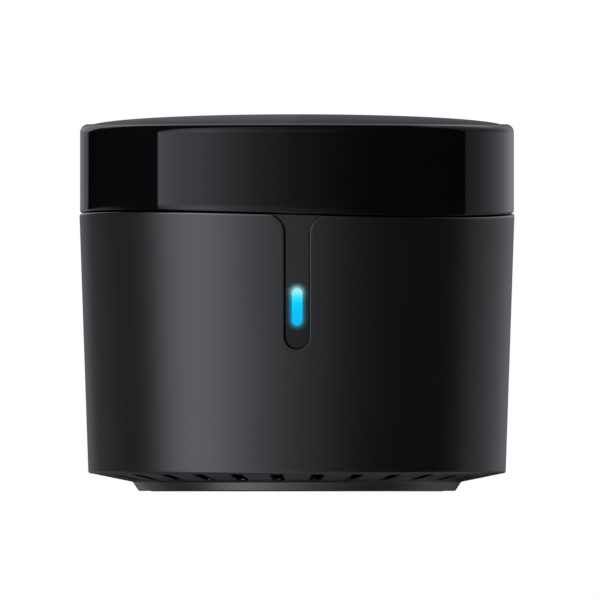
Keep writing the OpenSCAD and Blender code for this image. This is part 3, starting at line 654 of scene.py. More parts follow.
# %% Body wall
BODY_RINGS = (6, 12, 18, 24, 25.5, 27, 28.2, 29.2)
BODY_RIM_SOFT, BODY_CORNER_SOFT = 0.16, 0.18
body_outline = [
    (LAP_R, TRAY_Z), (LAP_R, under_z(LAP_R)), (BODY_LOW_R, CORNER_Z),
    *[(body_r(z), z) for z in BODY_RINGS],
    (BODY_TOP_R, SEAM_Z), (LEDGE_R, SEAM_Z), (LEDGE_R, LEDGE_Z),
    (body_r(LEDGE_Z) - WALL, LEDGE_Z), (body_r(TRAY_Z) - WALL, TRAY_Z),
]
body_bm = lathe(body_outline, steps=160)
round_edges(body_bm, ring_edges(body_bm, BODY_TOP_R, SEAM_Z), BODY_RIM_SOFT, 5)
round_edges(body_bm, ring_edges(body_bm, BODY_LOW_R, CORNER_Z), BODY_CORNER_SOFT, 5)
print("body wall", len(body_bm.faces), "faces")

# %% Cutter of the slot
FLARE_SIDE = SLOT_W / 2 + FLARE_R
THROUGH = 30


def slot_prism(shrink):
    """Front slot: straight sides, a round lower end and flares where it meets the seam."""
    top = SEAM_Z + 1
    w = SLOT_W / 2 - shrink
    low = SLOT_LOW_Z + shrink
    flare = FLARE_R + shrink
    points = [
        (-FLARE_SIDE, top), (-FLARE_SIDE, SEAM_Z), (-w, SEAM_Z), (-w, low),
        (w, low), (w, SEAM_Z), (FLARE_SIDE, SEAM_Z), (FLARE_SIDE, top),
    ]
    return prism(points, [(2, flare), (5, flare), (3, w), (4, w)], THROUGH)


print("slot and flares", round(2 * FLARE_SIDE, 2), "mm wide at the seam")

# %% Cutters of the socket and the key
SOCKET_SLANT = 0.8


def socket_prism(w, h, corner, depth, mouth_y):
    """The socket's outline, 2w wide and 2h high, with two rounded and two slanted corners."""
    c = SOCKET_SLANT
    bm = prism(
        [(-w, h), (w, h), (w, c - h), (w - c, -h), (c - w, -h), (-w, c - h)],
        [(0, corner), (1, corner)], depth,
    )
    shift(bm, y=mouth_y)
    return bm


key_way = Vector((math.sin(math.radians(KEY_ANGLE)), math.cos(math.radians(KEY_ANGLE)), 0))


def key_prism(radius, u0, u1):
    """Round bar along the key's way, from u0 to u1 away from the hub's axis."""
    bm = bmesh.new()
    bmesh.ops.create_cone(
        bm, cap_ends=True, segments=48, radius1=radius * MM, radius2=radius * MM,
        depth=(u1 - u0) * MM,
    )
    lie = Matrix.Rotation(math.radians(90), 4, "Y")
    turn = Matrix.Rotation(math.radians(90 - KEY_ANGLE), 4, "Z")
    move = Matrix.Translation(key_way * (u0 + u1) / 2 * MM + Vector((0, 0, KEY_Z * MM)))
    bmesh.ops.transform(bm, matrix=move @ turn @ lie, verts=bm.verts)
    return bm


print("key's way", tuple(round(x, 3) for x in key_way))


# %% Cut the body and round the rims
def on_body_face(p):
    return abs(p.xy.length - body_r(p.z)) < ON_FACE


OPENING_W, OPENING_H, OPENING_CORNER, OPENING_DEPTH, OPENING_Y = 3.95, 1.5, 0.35, 8, 28
KEY_HOLE_R, KEY_HOLE_FROM, KEY_HOLE_TO = 1.3, 20, 26
CUTS_FROM_Z, CUT_SOFT = 3, 0.14
body_bm = cut_with(body_bm, slot_prism(0))
opening_bm = socket_prism(OPENING_W, OPENING_H, OPENING_CORNER, OPENING_DEPTH, OPENING_Y)
shift(opening_bm, z=SOCKET_Z)
body_bm = cut_with(body_bm, opening_bm)
body_bm = cut_with(body_bm, key_prism(KEY_HOLE_R, KEY_HOLE_FROM, KEY_HOLE_TO))
rims = sharp_edges(body_bm, lambda p: on_body_face(p) and CUTS_FROM_Z < p.z < SEAM_Z + 0.01)
round_edges(body_bm, rims, CUT_SOFT, 4, clamp=False)
wave_seam(body_bm)
print("rounded", len(rims), "edges of the cuts")


# %% Posts inside the body
POSTS, POST_BORE, POST_R, POST_LOW_Z, POST_TOP_Z = 3, 1.03, 2.2, 8.6, 29.9


def tube_outline(inner, outer, low, high):
    return [(inner, low), (outer, low), (outer, high), (inner, high)]


def add_at_posts(bm, outline):
    """Adds a small turned tube to bm at each of the three posts."""
    for k in range(POSTS):
        tube = lathe(outline, steps=32)
        angle = math.tau * k / POSTS
        move = Vector((math.cos(angle), math.sin(angle), 0)) * POST_AT_R * MM
        bmesh.ops.translate(tube, verts=tube.verts, vec=move)
        add_shell(bm, tube)


add_at_posts(body_bm, tube_outline(POST_BORE, POST_R, POST_LOW_Z, POST_TOP_Z))
finish_piece(body_bm, "body_wall", "housing", body_satin, ["body_shell"])

# %% [markdown]
# ## Light strip
# The strip is matt plastic that fills the slot from behind, a quarter of a millimetre under the
# body's face. A bent flat sheet wouldn't follow the cone. So it is the part of a thinner ring
# that lies inside a slot-shaped prism, a little narrower than the slot, and a dark gap line
# stays all round it. A wider flange behind the wall holds it, and the window is cut through
# both. As in the photograph the strip sits a hair to the right.

# %% Strip
STRIP_RECESS, STRIP_GAP, STRIP_SHIFT = 0.25, 0.1, 0.045
STRIP_LOW_Z, STRIP_T, STRIP_TOP_R, STRIP_STEP_Z = 13.1, 1.9, 22.9, 27.02
STRIP_RINGS, STRIP_SOFT = (STRIP_LOW_Z, 20, 25, 27, 28.5, SEAM_Z), 0.05
strip_outline = [
    *[(body_r(z) - STRIP_RECESS, z) for z in STRIP_RINGS],
    (STRIP_TOP_R, SEAM_Z), (STRIP_TOP_R, STRIP_STEP_Z),
    (body_r(LEDGE_Z) - STRIP_T, STRIP_STEP_Z), (body_r(STRIP_LOW_Z) - STRIP_T, STRIP_LOW_Z),
]
strip_bm = cut_with(lathe(strip_outline), slot_prism(STRIP_GAP), "INTERSECT")
print("strip", len(strip_bm.faces), "faces before its window")


# %% Window in the strip
PILL_GAP, NEARLY = 0.04, 0.999


def pill_prism(grow):
    """Upright pill. The corners are rounded by nearly half the width, so they don't meet."""
    w, h = PILL_W / 2 + grow, PILL_H / 2 + grow
    corners = [(-w, h), (w, h), (w, -h), (-w, -h)]
    bm = prism(corners, [(i, w * NEARLY) for i in range(4)], THROUGH)
    shift(bm, z=PILL_Z)
    return bm


strip_bm = cut_with(strip_bm, pill_prism(PILL_GAP))


def on_strip_face(p):
    return abs(p.xy.length - body_r(p.z) + STRIP_RECESS) < ON_FACE


round_edges(strip_bm, sharp_edges(strip_bm, on_strip_face), STRIP_SOFT, 2)
shift(strip_bm, x=STRIP_SHIFT)
wave_seam(strip_bm)
print("strip", len(strip_bm.faces), "faces with its window")

# %% Strip's flange behind the body wall
FLANGE_OUT, FLANGE_IN, FLANGE_TOP_Z = 1.68, 2.6, 26.85
BLOCK_SIDE, BLOCK_LOW_Z, BLOCK_TOP_Z = 3.8, 13, 27
flange_outline = [
    (body_r(STRIP_LOW_Z) - FLANGE_OUT, STRIP_LOW_Z),
    (body_r(FLANGE_TOP_Z) - FLANGE_OUT, FLANGE_TOP_Z),
    (body_r(FLANGE_TOP_Z) - FLANGE_IN, FLANGE_TOP_Z),
    (body_r(STRIP_LOW_Z) - FLANGE_IN, STRIP_LOW_Z),
]
flange_block = [
    (-BLOCK_SIDE, BLOCK_TOP_Z), (BLOCK_SIDE, BLOCK_TOP_Z), (BLOCK_SIDE, BLOCK_LOW_Z),
    (-BLOCK_SIDE, BLOCK_LOW_Z),
]
flange_bm = cut_with(lathe(flange_outline), prism(flange_block, [], THROUGH), "INTERSECT")
flange_bm = cut_with(flange_bm, pill_prism(PILL_GAP))
add_shell(strip_bm, flange_bm)
finish_piece(strip_bm, "slot_strip", "housing", strip_matt, ["light_strip"])

# %% [markdown]
# ## Light guide
# The guide is a clear bar that stands on the light source and ends in the window. Its front
# could be flat, as the window is small, but its highlight would jump. It is the body's cone,
# moved in and cut out by the window's outline, with a soft edge.

# %% Guide
GUIDE_RECESS, GUIDE_IN_R, GUIDE_LOW_Z, GUIDE_TOP_Z, GUIDE_SOFT = 0.29, 18.5, 16, 25, 0.14
BAR_SIDE, BAR_LOW_Z, BAR_DEPTH, BAR_AT_Y = 0.8, 9.5, 2.4, -18.24
front_ring = lathe([
    (GUIDE_IN_R, GUIDE_LOW_Z), (body_r(GUIDE_LOW_Z) - GUIDE_RECESS, GUIDE_LOW_Z),
    (body_r(GUIDE_TOP_Z) - GUIDE_RECESS, GUIDE_TOP_Z), (GUIDE_IN_R, GUIDE_TOP_Z),
])
guide_bm = cut_with(front_ring, pill_prism(0), "INTERSECT")


def on_window_face(p):
    return abs(p.xy.length - body_r(p.z) + GUIDE_RECESS) < ON_FACE


round_edges(guide_bm, sharp_edges(guide_bm, on_window_face), GUIDE_SOFT, 4)
bar_top_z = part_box("light_guide")[1].z / MM
bar_bm = prism(
    [(-BAR_SIDE, bar_top_z), (BAR_SIDE, bar_top_z), (BAR_SIDE, BAR_LOW_Z), (-BAR_SIDE, BAR_LOW_Z)],
    [], BAR_DEPTH,
)
shift(bar_bm, y=BAR_AT_Y)
add_shell(guide_bm, bar_bm)
finish_piece(guide_bm, "window_bar", "housing", guide_lit, ["light_guide"])

# %% [markdown]
# ## Base
# The base closes the body with a flat vented cone and carries the foot ring. It is turned like
# the body. Its thirty vents could be cut one by one. One narrow box, copied round the axis, cuts
# them all at once. The first lies on the X axis, so the front falls midway between two vents, as
# photographed.

# %% Base tray
TRAY_R, LIP_R, DISH_R, DISH_Z = 22.37, 20.4, 19.3, 2.4
RECESS_R, PAD_T = 16.33, 1.0
FOOT_SOFT, TRAY_SOFT = 0.12, 0.1
base_outline = [
    (0, PAD_T), (RECESS_R, PAD_T), (RECESS_R, FOOT_LOW_Z), (FOOT_LOW_R, FOOT_LOW_Z),
    (FOOT_TOP_R, FOOT_TOP_Z), (TRAY_R, under_z(TRAY_R)), (TRAY_R, TRAY_Z), (LIP_R, TRAY_Z),
    (DISH_R, DISH_Z), (0, DISH_Z),
]
base_bm = lathe(base_outline, steps=180, closed=False)
round_edges(base_bm, ring_edges(base_bm, FOOT_LOW_R, FOOT_LOW_Z), FOOT_SOFT, 4)
round_edges(base_bm, ring_edges(base_bm, FOOT_TOP_R, FOOT_TOP_Z), FOOT_SOFT, 4)
round_edges(base_bm, ring_edges(base_bm, TRAY_R, under_z(TRAY_R)), TRAY_SOFT, 3)
print("base", len(base_bm.faces), "faces")

# %% Vents
VENTS, VENT_LENGTH, VENT_W, VENT_DEPTH = 30, 2.82, 1.25, 6
VENT_AT_R, VENT_AT_Z, SKIRT_FROM_R, VENT_SOFT = 20.66, 2, 18.6, 0.07
vent_bm = bmesh.new()
bmesh.ops.create_cube(vent_bm, size=1.0)
bmesh.ops.scale(
    vent_bm, verts=vent_bm.verts, vec=(VENT_LENGTH * MM, VENT_W * MM, VENT_DEPTH * MM),
)
shift(vent_bm, x=VENT_AT_R, z=VENT_AT_Z)
bmesh.ops.spin(
    vent_bm, geom=vent_bm.faces[:], cent=(0, 0, 0), axis=(0, 0, 1),
    angle=math.tau * (VENTS - 1) / VENTS, steps=VENTS - 1, use_duplicate=True,
)
bmesh.ops.recalc_face_normals(vent_bm, faces=vent_bm.faces)
base_bm = cut_with(base_bm, vent_bm)


def on_skirt(p):
    return abs(p.z - under_z(p.xy.length)) < ON_FACE and p.xy.length > SKIRT_FROM_R


vent_rims = sharp_edges(base_bm, on_skirt)
round_edges(base_bm, vent_rims, VENT_SOFT, 2)
print("rounded", len(vent_rims), "vent edges")

# %% Bosses of the base
BOSS_BORE, BOSS_R, BOSS_LOW_Z, BOSS_TOP_Z = 1.15, 2.9, 2.3, 7.4
add_at_posts(base_bm, tube_outline(BOSS_BORE, BOSS_R, BOSS_LOW_Z, BOSS_TOP_Z))
finish_piece(base_bm, "base_tray", "housing", base_matt, ["base_plate"])

# %% [markdown]
# ## Foot pad
# A rubber disc lies in the foot ring and stands out by a twentieth of a millimetre. A cylinder
# would do for its edge, which is all that shows from the front. A turned outline costs no more
# and also gives it a soft rim and a shallow ring pressed into its face.

# %% Pad
PAD_R, PAD_SOFT, RING_SOFT = 16.25, 0.25, 0.1
RING_IN_R, RING_OUT_R, RING_SLOPE, RING_DEPTH = 13.4, 14.6, 0.3, 0.25
pad_outline = [
    (0, 0), (RING_IN_R, 0), (RING_IN_R + RING_SLOPE, RING_DEPTH),
    (RING_OUT_R - RING_SLOPE, RING_DEPTH), (RING_OUT_R, 0), (PAD_R, 0), (PAD_R, PAD_T),
    (0, PAD_T),
]
pad_bm = lathe(pad_outline, steps=160, closed=False)
round_edges(pad_bm, ring_edges(pad_bm, PAD_R, 0), PAD_SOFT, 4)
ring_rims = ring_edges(pad_bm, RING_OUT_R, 0) + ring_edges(pad_bm, RING_IN_R, 0)
round_edges(pad_bm, ring_rims, RING_SOFT, 3)
finish_piece(pad_bm, "rubber_pad", "housing", foot_rubber, ["foot_pad"])

# %% [markdown]
# ## Power socket and reset key
# At the back a folded metal shell forms the socket. A sheet could be bent to it, but the opening
# in the wall has the same outline, so the shell is that outline pushed in and hollowed by a
# smaller one. The reset key beside it is a round button with a soft edge, a flange behind the
# wall and a stem that meets the switch. All three are one piece on the key's body.

# %% Tin plate
tin_plate = finish_of(
    "tin_plate", (0.60, 0.61, 0.63), (0.52, 0.53, 0.55), 0.28, spread=0.12, bump=0.6,
    grain=5000, mottle=500, metallic=1.0,
)
print("finish", tin_plate.name)

# %% Socket shell
SHELL_W, SHELL_H, SHELL_CORNER, SHELL_T = 3.75, 1.3, 0.45, 0.28
SHELL_DEPTH, MOUTH_Y, MOUTH_SOFT = 5.4, 22.926, 0.08
shell_bm = socket_prism(SHELL_W, SHELL_H, SHELL_CORNER, SHELL_DEPTH, 0)
hollow_bm = socket_prism(
    SHELL_W - SHELL_T, SHELL_H - SHELL_T, SHELL_CORNER - SHELL_T, SHELL_DEPTH, SHELL_T,
)
shell_bm = cut_with(shell_bm, hollow_bm)
mouth = sharp_edges(shell_bm, lambda p: p.y > -0.01)
round_edges(shell_bm, mouth, MOUTH_SOFT, 3)
shift(shell_bm, y=MOUTH_Y, z=SOCKET_Z)
finish_piece(shell_bm, "socket_shell", "housing", tin_plate, ["usb_shell"])

# %% Reset key
KEY_R, KEY_FROM, KEY_INSET, KEY_SOFT = 1.2, 21.1, 0.2, 0.2
FLANGE, STEM = (1.65, 20.695, 21.495), (0.8, 19.495, 20.9)
key_bm = key_prism(KEY_R, KEY_FROM, body_r(KEY_Z) - KEY_INSET)
face_edges = [
    e for e in key_bm.edges
    if all(v.co.xy.length > (body_r(KEY_Z) - 2 * KEY_INSET) * MM for v in e.verts)
]
round_edges(key_bm, face_edges, KEY_SOFT, 4)
for step in (FLANGE, STEM):
    add_shell(key_bm, key_prism(*step))
finish_piece(key_bm, "reset_button", "key", key_plastic, ["reset_key"])

# %% [markdown]
# ## Finishes of the parts inside
# The boards, sockets, cans and lenses inside keep their solids: from a step away they need no
# rounder form. Each gets the finish that its material has, such as mottled solder mask, tin
# plate, moulded epoxy, ceramic or resin. A finish is kept under the name of its slot, so one
# loop can dress every solid.


# %% Inside metals
inside = {"tin_plate": tin_plate}


def inside_finish(slot, *looks, **more):
    inside[slot] = finish_of(slot, *looks, **more)


inside_finish(
    "screw_steel", (0.55, 0.55, 0.56), (0.42, 0.42, 0.43), 0.3, spread=0.15, bump=1, grain=4000,
    mottle=900, metallic=1.0,
)
inside_finish(
    "can_aluminium", (0.65, 0.66, 0.68), (0.56, 0.57, 0.59), 0.3, spread=0.12, bump=1, grain=4000,
    mottle=700, metallic=1.0,
)
inside_finish(
    "contact_gold", (0.85, 0.62, 0.25), (0.78, 0.54, 0.20), 0.22, spread=0.1, mottle=1500,
    metallic=1.0,
)
inside_finish(
    "copper_track", (0.70, 0.36, 0.16), (0.58, 0.28, 0.12), 0.32, spread=0.15, mottle=1500,
    metallic=1.0,
)
print("metals", len(inside))

# %% Boards and plastics
inside_finish(
    "board_green", (0.010, 0.130, 0.050), (0.006, 0.090, 0.034), 0.3, bump=4, grain=2200,
    mottle=900, Coat_Weight=0.3,
)
inside_finish(
    "radio_blue", (0.010, 0.050, 0.140), (0.006, 0.034, 0.100), 0.3, bump=4, grain=2200,
    mottle=900, Coat_Weight=0.3,
)
inside_finish("shroud_white", (0.80, 0.80, 0.78), (0.72, 0.72, 0.70), 0.5, bump=2, grain=5000)
inside_finish(
    "black_plastic", (0.012, 0.012, 0.012), (0.018, 0.018, 0.018), 0.5, bump=3, grain=6000,
)
inside_finish("plunger_plastic", (0.62, 0.56, 0.45), (0.54, 0.48, 0.38), 0.4, bump=2, grain=6000)
inside_finish("socket_ivory", (0.78, 0.74, 0.62), (0.70, 0.66, 0.54), 0.45, bump=2, grain=6000)
inside_finish("cable_white", (0.72, 0.73, 0.70), (0.64, 0.65, 0.62), 0.4, bump=3, grain=3000)
print("with plastics", len(inside))

# %% Ceramic, epoxy and resins
inside_finish(
    "chip_epoxy", (0.018, 0.018, 0.018), (0.026, 0.026, 0.025), 0.6, bump=6, grain=7000,
    mottle=1200,
)
inside_finish(
    "coil_ferrite", (0.090, 0.090, 0.095), (0.060, 0.060, 0.064), 0.62, bump=10, grain=4500,
    mottle=1500,
)
inside_finish(
    "ceramic_tan", (0.42, 0.26, 0.12), (0.34, 0.20, 0.09), 0.45, bump=4, grain=6000, mottle=2500,
)
inside_finish("led_lens", (0.90, 0.85, 0.55), (0.82, 0.74, 0.42), 0.2, mottle=2500)
inside_finish(
    "emitter_resin", (0.20, 0.28, 0.45), (0.16, 0.23, 0.38), 0.08, spread=0.02, mottle=400,
)
inside_finish(
    "receiver_resin", (0.020, 0.010, 0.020), (0.014, 0.007, 0.014), 0.12, spread=0.03, mottle=400,
)
print("inside finishes", len(inside))

# %% Dress the solids inside
outside = {
    "cap_gloss": cap_gloss, "body_satin": body_satin, "base_matt": base_matt,
    "strip_matt": strip_matt, "foot_rubber": foot_rubber, "guide_clear": guide_lit,
    "key_plastic": key_plastic,
}
finishes = {**inside, **outside}
for row in frame["record"]["subparts"]:
    solid = frame["nodes"][row["node"]]
    solid.data.materials.clear()
    solid.data.materials.append(finishes[row["material_slot"]])

# %% [markdown]
# ## Dome of the switch
# A thin gold-plated dome in the switch holds the plunger up and snaps flat when it is pressed.
# As a rigid piece it would let the plunger pass through it. It is turned like the shell and laid
# along the key's way.

# %% Snap dome
DOME_R, DOME_RISE, DOME_T, DOME_SOFT = 0.75, 0.4, 0.12, 0.03
dome_low, dome_high = (Vector(corner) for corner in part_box("switch_dome"))
seat = key_way * ((dome_low.x + dome_high.x) / 2 / key_way.x - DOME_T / 2 * MM)
seat.z = (dome_low.z + dome_high.z) / 2
under_side = [(DOME_R * share, DOME_RISE * (1 - share ** 2)) for share in (0, 0.25, 0.5, 0.75, 1)]
top_side = [(r, z + DOME_T) for r, z in reversed(under_side)]
dome_bm = lathe(under_side + top_side, steps=48, closed=False)
round_edges(dome_bm, ring_edges(dome_bm, DOME_R, DOME_T), DOME_SOFT, 2)
bmesh.ops.rotate(
    dome_bm, verts=dome_bm.verts, cent=(0, 0, 0),
    matrix=Vector((0, 0, 1)).rotation_difference(key_way).to_matrix(),
)
bmesh.ops.translate(dome_bm, verts=dome_bm.verts, vec=seat)
snap_dome = finish_piece(
    dome_bm, "snap_dome", "housing", inside["contact_gold"], ["switch_dome"],
)
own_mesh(snap_dome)

# %% [markdown]
# ## Floor
# The hub stands on a pale floor that keeps its shadow. The floor lies a hair below the pad, so
# that the two faces don't flicker, and the gloss doesn't mirror it.

# %% Floor
FLOOR_R, FLOOR_DROP = 1.5, 0.02
floor_bm = bmesh.new()
bmesh.ops.create_circle(floor_bm, cap_ends=True, segments=96, radius=FLOOR_R)
shift(floor_bm, z=-FLOOR_DROP)
floor = to_object(floor_bm, "floor")
floor_material = finish_of(
    "floor_paper", (0.82, 0.82, 0.82), (0.80, 0.80, 0.80), 0.8, mottle=3, grain=2000,
)
floor.data.materials.append(floor_material)
floor.visible_glossy = False
print("floor", 2 * FLOOR_R, "m across")

# %% [markdown]
# ## What the gloss reflects
# A black gloss cap shows little but its surroundings. In the photograph it mirrors one wide,
# soft light at the front left, which ends in a hard edge at the side and fades towards the
# middle, a dimmer one at the right rear, and dark cloth between them. Plain lamps can't fade in
# that way. Here a large tent round the hub carries the pattern, and only reflections see it, so
# it lights nothing else. Its first levels were worked out from greys read at places along the
# photographed cap, divided by what gloss reflects there. Then they were tuned until the shades
# of cap, body and foot agreed. Other surroundings give other shades.

# %% Tent mesh
TENT_RADIUS, TENT_MIDDLE_Z = 3.0, 20
tent_bm = bmesh.new()
bmesh.ops.create_icosphere(tent_bm, subdivisions=5, radius=TENT_RADIUS)
shift(tent_bm, z=TENT_MIDDLE_Z)
bmesh.ops.reverse_faces(tent_bm, faces=tent_bm.faces)
tent = to_object(tent_bm, "reflection_tent")
for ray in ("camera", "diffuse", "transmission", "volume_scatter", "shadow"):
    setattr(tent, "visible_" + ray, False)
print("tent", len(tent.data.polygons), "faces")

# %% Tent cloth
TENT_TINT = (0.96, 0.985, 1.07, 1)
tent_cloth = bpy.data.materials.new("tent_cloth")
tent_cloth.use_nodes = True
tree = tent_cloth.node_tree
tree.nodes.clear()
turned = tree.nodes.new("ShaderNodeVectorMath")
turned.operation = "NORMALIZE"
tree.links.new(tree.nodes.new("ShaderNodeTexCoord").outputs["Object"], turned.inputs[0])
sides = tree.nodes.new("ShaderNodeSeparateXYZ")
tree.links.new(turned.outputs[0], sides.inputs[0])
right, back, rise = sides.outputs["X"], sides.outputs["Y"], sides.outputs["Z"]
ahead = math_node(tree, "MULTIPLY", back, -1.0)
off_level = math_node(tree, "ABSOLUTE", rise)


def turn_share(front):
    """Direction round the hub: 0 behind, 0.25 at the left, 0.5 in front, 0.75 at the right."""
    return math_node(
        tree, "MULTIPLY_ADD", math_node(tree, "ARCTAN2", right, front), 1 / math.tau, 0.5,
    )


def blend(tree, share, low, high):
    """low where share is 0, high where it is 1, and a mixture between."""
    return math_node(tree, "MULTIPLY_ADD", math_node(tree, "SUBTRACT", high, low), share, low)


turn = turn_share(ahead)


def turn_level(pairs, top=1.0, where=turn):
    """Level by the turn in degrees. A ramp ends at 1, so it holds the levels' shares of top."""
    stops = grey_stops([((angle + 180) / 360, level / top) for angle, level in pairs])
    return math_node(tree, "MULTIPLY", ramp_node(tree, where, stops), top)


print("tent looks inwards from", TENT_RADIUS, "m")

# %% [markdown]
# ### Front light
# Levels are listed by the turn round the hub in degrees: 0 in front, negative to the left, 180
# behind. The front light is brightest at the left and fades out right of the middle. It ends in
# a hard edge near 80 degrees, which the band mirrors about two thirds of the way to its left
# side.

# %% Front light of the tent
FRONT_LEAN, FRONT_EDGE = 0.3, (0.170, 0.195)
front_turn = turn_share(math_node(tree, "MULTIPLY_ADD", off_level, FRONT_LEAN, ahead))
FRONT = [
    (-90, 1.70), (-76, 1.56), (-65, 1.26), (-51, 1.05), (-37, 0.71), (-24, 0.42), (-11, 0.26),
    (1, 0.14), (14, 0.085), (27, 0.02), (40, 0.0),
]
front_level = turn_level(FRONT, 2.0, front_turn)
front_light = math_node(tree, "MULTIPLY", front_level, soft_step(tree, ahead, *FRONT_EDGE))
print("front light of", len(FRONT), "levels")

# %% [markdown]
# ### Rear lights
# At the left a narrow strip of light follows the cap's outline and runs on over its rim, so its
# edge leans with the height. At the right a wider light grows towards the outline. Both end
# below the top of the tent.

# %% Rear lights of the tent
REAR = [
    (-180, 0.135), (-173, 0.15), (-166, 0.36), (-160, 0.31), (-154, 0.285), (-150, 0.24),
    (-145, 0.40), (-120, 0.40), (-105, 0.0), (95, 0.0), (101, 0.19), (112, 0.25), (120, 0.32),
    (129, 0.39), (140, 0.47), (155, 0.54), (168, 0.40), (174, 0.115), (180, 0.11),
]
rear_level = turn_level(REAR)
LEFT_EDGE, RIGHT_EDGE, LEFT_LEAN, EDGE_SOFT = -0.844, -0.19, 0.33, 0.02
TOP_RISE, TOP_SLOPE, TOP_SOFT = 0.62, 0.45, 0.06
on_right = math_node(tree, "GREATER_THAN", right, 0.0)
edge_place = blend(tree, on_right, LEFT_EDGE, RIGHT_EDGE)
edge_lean = math_node(
    tree, "MULTIPLY", math_node(tree, "MAXIMUM", rise, 0.0), blend(tree, on_right, LEFT_LEAN, 0.0),
)
behind = soft_step(
    tree,
    math_node(tree, "ADD", math_node(tree, "SUBTRACT", edge_place, ahead), edge_lean),
    0.0, EDGE_SOFT,
)
below_top = soft_step(
    tree,
    math_node(
        tree, "SUBTRACT",
        math_node(tree, "MULTIPLY_ADD", math_node(tree, "ABSOLUTE", right), TOP_SLOPE, TOP_RISE),
        off_level,
    ),
    -TOP_SOFT, TOP_SOFT,
)
rear_light = math_node(
    tree, "MULTIPLY", rear_level, math_node(tree, "MULTIPLY", behind, below_top),
)
print("rear lights of", len(REAR), "levels")

# %% [markdown]
# ### Above and below the level
# The gloss band is upright and mirrors only what stands level with it. The satin body and the
# foot scatter the light, and take it from higher and lower too. So the lights above are kept as
# they are in a narrow belt. Beside the belt they are raised or lowered until the body's shades
# agree with the photograph too, and below it the left rear gets a light of its own.

# %% Gain above and below the level
BELT_EDGE, NEAR_EDGE = (0.02, 0.07), (0.35, 0.65)
near_level = math_node(
    tree, "MULTIPLY", soft_step(tree, off_level, *BELT_EDGE), fall(tree, off_level, *NEAR_EDGE),
)
SPREAD = [
    (-180, 0.9), (-170, 1.3), (-150, 2.0), (-125, 1.5), (-100, 0.8), (-90, 0.35), (-76, 0.50),
    (-64, 1.25), (-50, 1.7), (-38, 1.6), (-15, 1.5), (10, 2.1), (40, 2.1), (70, 0.8),
    (92, 0.7), (102, 0.9), (116, 0.7), (130, 0.6), (150, 0.75), (168, 0.9), (180, 0.9),
]
UNDER = [
    (-180, 0.1), (-170, 0.2), (-158, 0.35), (-145, 0.5), (-125, 0.8), (-100, 1.0), (116, 1.0),
    (130, 1.0), (150, 0.5), (165, 0.2), (180, 0.1),
]
under_share = math_node(
    tree, "MAXIMUM", turn_level(UNDER), math_node(tree, "GREATER_THAN", rise, 0.0),
)
spread_here = math_node(tree, "MULTIPLY", turn_level(SPREAD, 3.0), under_share)
gain = blend(tree, near_level, 1.0, spread_here)
print("gain of", len(SPREAD), "levels, and", len(UNDER), "below")

# %% Light of the left rear, below the level
LEFT_REAR = [
    (-180, 0.0), (-175, 0.05), (-168, 0.12), (-150, 0.24), (-130, 0.36), (-120, 0.25),
    (-106, 0.03), (-95, 0.0), (180, 0.0),
]
below_level = math_node(tree, "MULTIPLY", near_level, math_node(tree, "LESS_THAN", rise, 0.0))
left_rear = math_node(tree, "MULTIPLY", turn_level(LEFT_REAR), below_level)
both_lights = math_node(tree, "ADD", front_light, rear_light)
level_light = math_node(
    tree, "ADD", math_node(tree, "MULTIPLY", both_lights, gain), left_rear,
)
print("left rear of", len(LEFT_REAR), "levels")

# %% [markdown]
# ### Overhead and low light
# The rim's thin bright line and the dome mirror a light that comes from over the back. What the
# foot and the vents' skirt mirror lies low, and has levels of its own.

# %% Light from over the back
OVER_LEVEL, OVER_RISE, OVER_BACK = 0.95, (0.30, 0.75), (0.58, 0.70)
over_back = math_node(
    tree, "MULTIPLY", soft_step(tree, rise, *OVER_RISE), soft_step(tree, back, *OVER_BACK),
)
high_light = math_node(tree, "MULTIPLY_ADD", over_back, OVER_LEVEL, level_light)
print("light over the back at", OVER_LEVEL)

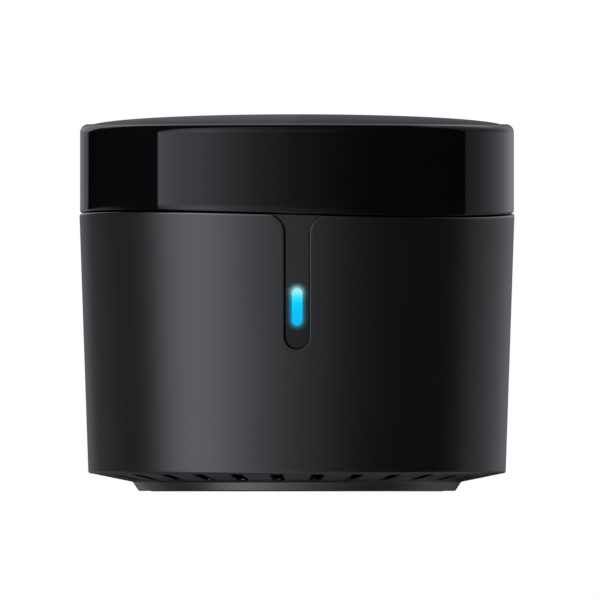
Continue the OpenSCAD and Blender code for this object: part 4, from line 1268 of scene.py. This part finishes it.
# %% Low light of the tent
LOW = [
    (-180, 0.10), (-150, 0.20), (-129, 0.20), (-110, 0.06), (-92, 0.2), (-79, 1.3), (-66, 1.9),
    (-51, 1.4), (-37, 1.0), (-5, 0.6), (30, 0.35), (54, 0.15), (85, 0.05), (105, 0.10),
    (118, 0.30), (141, 0.40), (155, 0.3), (180, 0.10),
]
LOW_EDGE = (0.45, 0.80)
low_level = turn_level(LOW, 2.0)
low_share = soft_step(tree, math_node(tree, "MULTIPLY", rise, -1.0), *LOW_EDGE)
tent_light = blend(tree, low_share, high_light, low_level)
print("low light of", len(LOW), "levels")

# %% Hang the cloth
glow_node = tree.nodes.new("ShaderNodeEmission")
glow_node.inputs["Color"].default_value = TENT_TINT
tree.links.new(tent_light, glow_node.inputs["Strength"])
tent_out = tree.nodes.new("ShaderNodeOutputMaterial")
tree.links.new(glow_node.outputs[0], tent_out.inputs["Surface"])
tent.data.materials.append(tent_cloth)
print("tent with", len(tree.nodes), "nodes")

# %% [markdown]
# ## Lamps and background
# Three soft lamps light the hub and the floor at a plain level. They stay out of the
# reflections, which the tent gives. The world is white where the camera, a reflection or a pane
# looks at it, and dimmer as a light, which keeps the dark plastic dark.

# %% Lamps
LAMP_AIM = Vector((0, 0, 0.02))


def soft_lamp(name, place, size, watts):
    data = bpy.data.lights.new(name, "AREA")
    data.shape, data.size, data.energy = "DISK", size, watts
    lamp = bpy.data.objects.new(name, data)
    lamp.location = place
    lamp.rotation_euler = (LAMP_AIM - Vector(place)).to_track_quat("-Z", "Y").to_euler()
    lamp.visible_camera = lamp.visible_glossy = False
    bpy.context.scene.collection.objects.link(lamp)
    print(name, watts, "W")


soft_lamp("key_lamp", (-0.45, -0.55, 0.45), 0.5, 5.0)
soft_lamp("top_lamp", (0.0, 0.1, 0.8), 0.6, 4.0)
soft_lamp("rear_lamp", (0.5, 0.5, 0.35), 0.5, 2.0)

# %% World
world = bpy.data.worlds.new("studio")
bpy.context.scene.world = world
world.use_nodes = True
tree = world.node_tree
background = tree.nodes["Background"]
background.inputs["Color"].default_value = (1, 1, 1, 1)
path = tree.nodes.new("ShaderNodeLightPath")
seen = math_node(
    tree, "MAXIMUM", path.outputs["Is Camera Ray"],
    math_node(tree, "MAXIMUM", path.outputs["Is Glossy Ray"], path.outputs["Is Transmission Ray"]),
)
WORLD_LIGHT = 0.35
tree.links.new(blend(tree, seen, WORLD_LIGHT, 1.0), background.inputs["Strength"])
bpy.context.scene.view_settings.view_transform = "Standard"
print("world", world.name, "lights at", WORLD_LIGHT)
